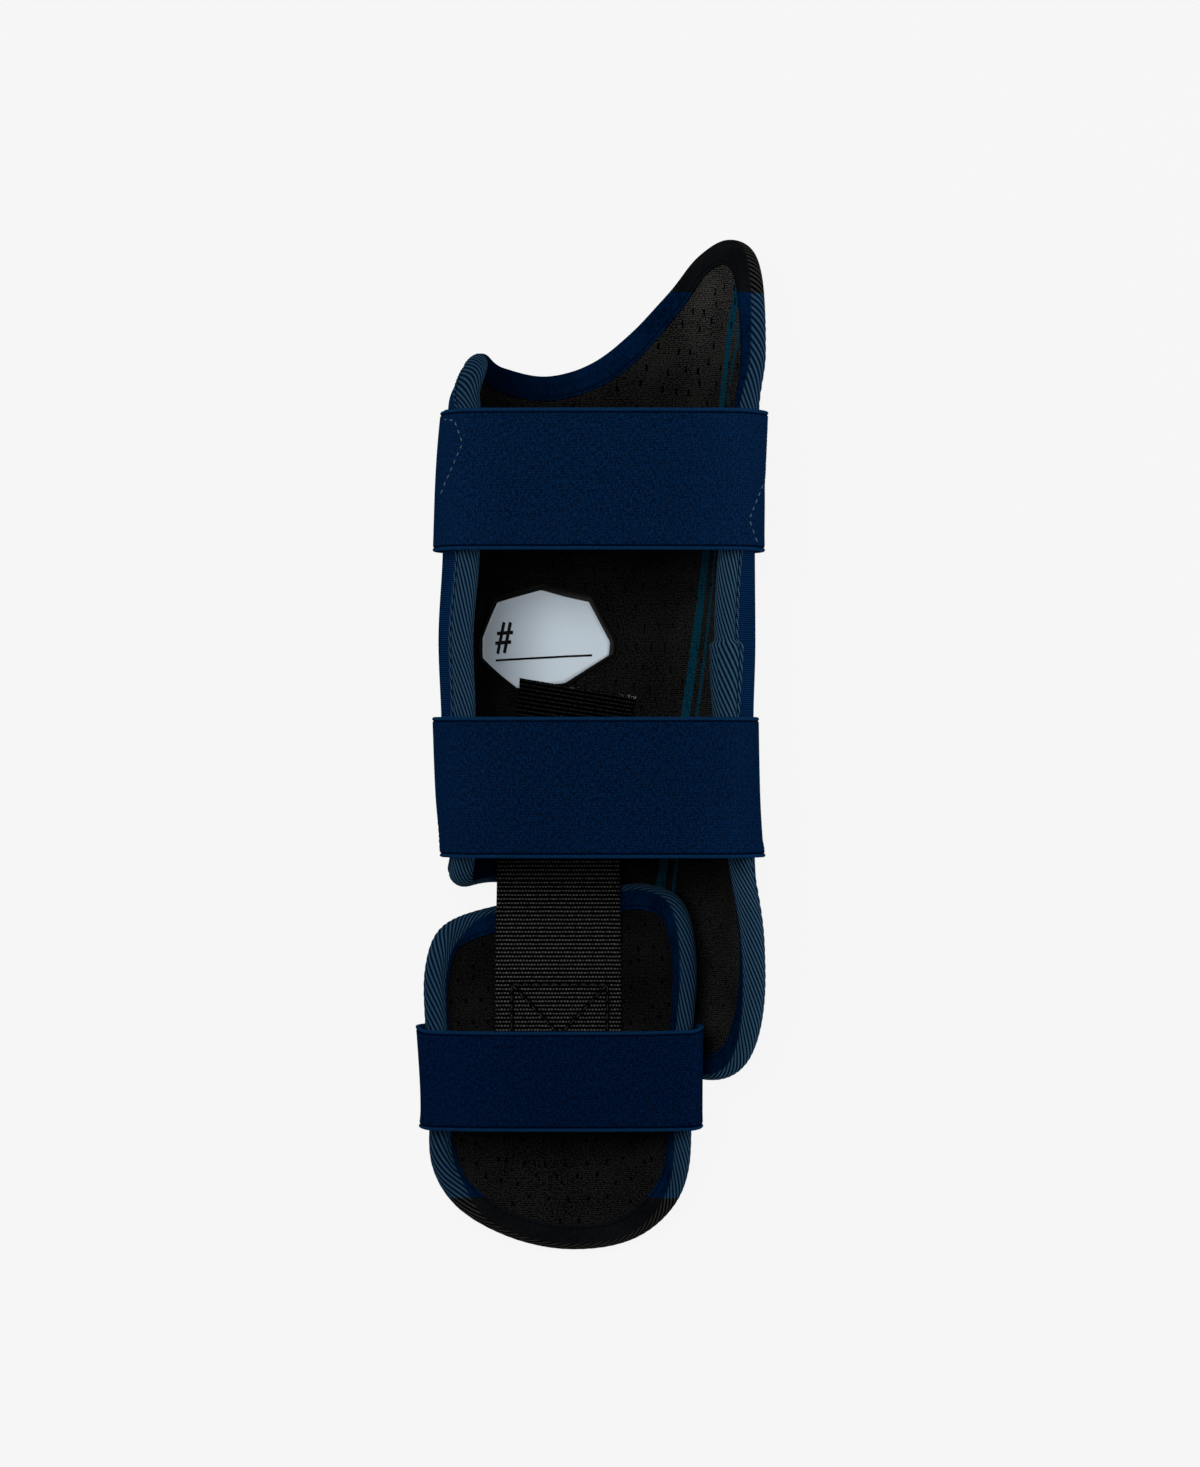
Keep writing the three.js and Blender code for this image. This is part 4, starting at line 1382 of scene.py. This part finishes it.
def make_label():
    backing = film_finish("label_backing", DARK_FILM, LABEL_BACKING)
    white = film_finish("label_white", WHITE_FILM, LABEL_WHITE)
    ink = film_finish("label_ink", DARK_FILM, LABEL_INK)
    depth = LABEL_DEPTH
    mesh = film(BACKING_PATTERN, depth, BACKING_THICK, LABEL_GRID)
    piece("number_label_backing", mesh, backing, "label", "number_label")
    depth += BACKING_THICK + FACE_GAP
    piece("number_label_face", film(FACE_PATTERN, depth, FACE_THICK, LABEL_GRID), white, "label")
    depth += FACE_THICK + PRINT_GAP
    for i, stroke in enumerate(LABEL_PRINT):
        mesh = film(stroke_outline(stroke), depth, PRINT_THICK, PRINT_GRID)
        piece(f"number_label_print_{i + 1}", mesh, ink, "label")


# Stitching
def thread_mesh(runs, thick):
    """A slim rounded stitch of thread for each run from a place to another, all joined in one mesh."""
    ball = bmesh.new()
    bmesh.ops.create_uvsphere(ball, u_segments=STITCH_SIDES, v_segments=STITCH_RINGS, radius=0.5)
    stitch = bpy.data.meshes.new("stitch")
    mesh = bmesh.new()
    for start, end in runs:
        along = end - start
        turn = along.to_track_quat("Z", "Y").to_matrix().to_4x4()
        size = Matrix.Diagonal((thick * MM, thick * MM, along.length, 1.0))
        ball.to_mesh(stitch)
        stitch.transform(Matrix.Translation((start + end) / 2) @ turn @ size)
        mesh.from_mesh(stitch)
    ball.free()
    bpy.data.meshes.remove(stitch)
    return mesh


def stitch_runs(start, end, stitch, place):
    """Stitches of one kind along a straight line on a flat pattern, each laid where place() says."""
    line = Line([Vector(start), Vector(end)])
    pitch = stitch.length + stitch.gap
    count = max(1, round(line.length / pitch))
    half = stitch.length / pitch / 2
    runs = []
    for i in range(count):
        middle = (i + 0.5) / count
        runs.append([place(line.at(middle + side * half / count)) for side in (-1, 1)])
    return runs


def make_binding_stitches(guard, finish):
    """A row of stitches in the groove of the outer lap and one near the free edge of the inner lap."""
    pattern, form = guard.pattern, guard.form
    count = round(pattern.rim.length / BINDING_STITCH)
    sewn = (
        (OUTER_LAP - SEAM_FROM_EDGE + TAPE_EDGE, TAPE_OUTER + SEAM_SINK),
        (INNER_LAP - LAP_STITCH_FROM_EDGE, guard.layers.tape - LAP_STITCH_SINK),
    )
    runs = []
    for inward, depth in sewn:
        for i in range(count):
            ends = []
            for part in BINDING_STITCH_SPAN:
                share = (i + part) / count
                spot = pattern.rim.at(share) + pattern.inward(share) * inward
                ends.append(form.place(*spot, depth))
            runs.append(ends)
    mesh = thread_mesh(runs, BINDING_STITCH_THICK)
    piece(f"{guard.name}_binding_stitches", mesh, finish, "binding")


def make_chevron_stitches(name, finish):
    """Zigzag stitches that hold a strap near both lips."""
    strap = STRAPS[name]

    def on_strap(spot):
        under = strap_line(strap, spot.y).points
        face = []
        for start, end in zip(under, under[1:]):
            along = (end - start).normalized()
            face.append((start + end) / 2 + Vector((-along.y, along.x)) * CHEVRON_STITCH.lift)
        across = [point.x for point in face]
        shown = face[across.index(min(across)):across.index(max(across)) + 1]
        i = int(clamp(bisect.bisect_left([point.x for point in shown], spot.x), 1, len(shown) - 1))
        share = clamp((spot.x - shown[i - 1].x) / (shown[i].x - shown[i - 1].x))
        at = shown[i - 1].lerp(shown[i], share)
        return in_frame(at.x, spot.y, at.y)

    runs = []
    for corners in CHEVRONS[name]:
        for start, end in zip(corners, corners[1:]):
            runs.extend(stitch_runs(start, end, CHEVRON_STITCH, on_strap))
    piece(f"{name}_stitches", thread_mesh(runs, CHEVRON_STITCH.thick), finish, "elastic")


def make_box_stitches(finish, seams):
    """A sewn box with a cross that holds the webbing on the instep guard."""
    def on_webbing(spot):
        return webbing_spot(0.5 + spot.x / webbing_width(spot.y), spot.y, BOX_STITCH.lift)

    runs = []
    for start, end in seams:
        runs.extend(stitch_runs(start, end, BOX_STITCH, on_webbing))
    piece("link_webbing_stitches", thread_mesh(runs, BOX_STITCH.thick), finish, "webbing")


def make_fray(finish):
    """Loose fibres along the webbing's cut end, most of them and the longest at its right corner."""
    draw = random.Random(FRAY_SEED)
    runs = []
    for _ in range(FRAY_COUNT):
        share = 1 - draw.random() ** 2
        long = draw.uniform(*FRAY_LENGTH)
        long += FRAY_CORNER_LENGTH * smoothstep(share, *FRAY_CORNER) * draw.random()
        start = webbing_spot(share, WEBBING_TOP - FRAY_ROOT, draw.uniform(FRAY_LOWEST, WEBBING_THICK))
        lean = Vector((draw.uniform(*FRAY_LEAN_ASIDE), 1.0, draw.uniform(*FRAY_LEAN_UP))).normalized()
        runs.append((start, start + lean * long * MM))
    piece("link_webbing_fray", thread_mesh(runs, FRAY_THICK), finish, "webbing")


# Stage
def make_floor():
    mesh = bmesh.new()
    bmesh.ops.create_grid(mesh, x_segments=1, y_segments=1, size=FLOOR_SIZE)
    bmesh.ops.translate(mesh, verts=mesh.verts[:], vec=(0, 0, -FLOOR_DROP))
    floor = bpy.data.meshes.new("floor")
    mesh.to_mesh(floor)
    mesh.free()
    paint = bpy.data.materials.new("studio_floor")
    paint.use_nodes = True
    shader = paint.node_tree.nodes["Principled BSDF"]
    for socket, value in FLOOR_PAINT.items():
        shader.inputs[socket].default_value = value
    floor.materials.append(paint)
    made = put("floor", floor)


def make_light():
    world = bpy.data.worlds.new("studio")
    world.use_nodes = True
    for socket, value in SKY.items():
        world.node_tree.nodes["Background"].inputs[socket].default_value = value
    bpy.context.scene.world = world
    for softbox in SOFTBOXES:
        light = bpy.data.lights.new(softbox.name, "AREA")
        light.shape = "DISK"
        light.size = softbox.size
        light.energy = softbox.energy
        lamp = put(softbox.name, light)
        lamp.location = softbox.place
        lamp.rotation_euler = (-lamp.location).to_track_quat("-Z", "Y").to_euler()


def make_camera():
    view = bpy.data.cameras.new("camera")
    view.sensor_width = SENSOR
    view.lens = LENS
    view.clip_end = CAMERA_REACH
    made = put("camera", view)
    made.location = CAMERA_PLACE
    bpy.context.scene.camera = made


def main():
    make_camera()
    make_floor()
    make_light()
    bpy.context.scene.view_settings.view_transform = "Standard"
    cover = cover_finish()
    dark_thread = thread_finish("dark_thread", DARK_THREAD, CLOTH_SHEEN)
    for guard in GUARDS.values():
        make_shell(guard, cover)
        make_liner(guard, liner_finish(guard))
        make_binding(guard)
        make_binding_stitches(guard, dark_thread)
    for name, strap in STRAPS.items():
        make_strap(name, strap)
    pale_thread = thread_finish("pale_thread", PALE_THREAD)
    for name in CHEVRONS:
        make_chevron_stitches(name, pale_thread)
    seams = box_lines()
    make_webbing(webbing_finish(), seams)
    make_box_stitches(thread_finish("black_thread", BLACK_THREAD), seams)
    make_fray(thread_finish("loose_fibre", LOOSE_FIBRE))
    make_label()


main()
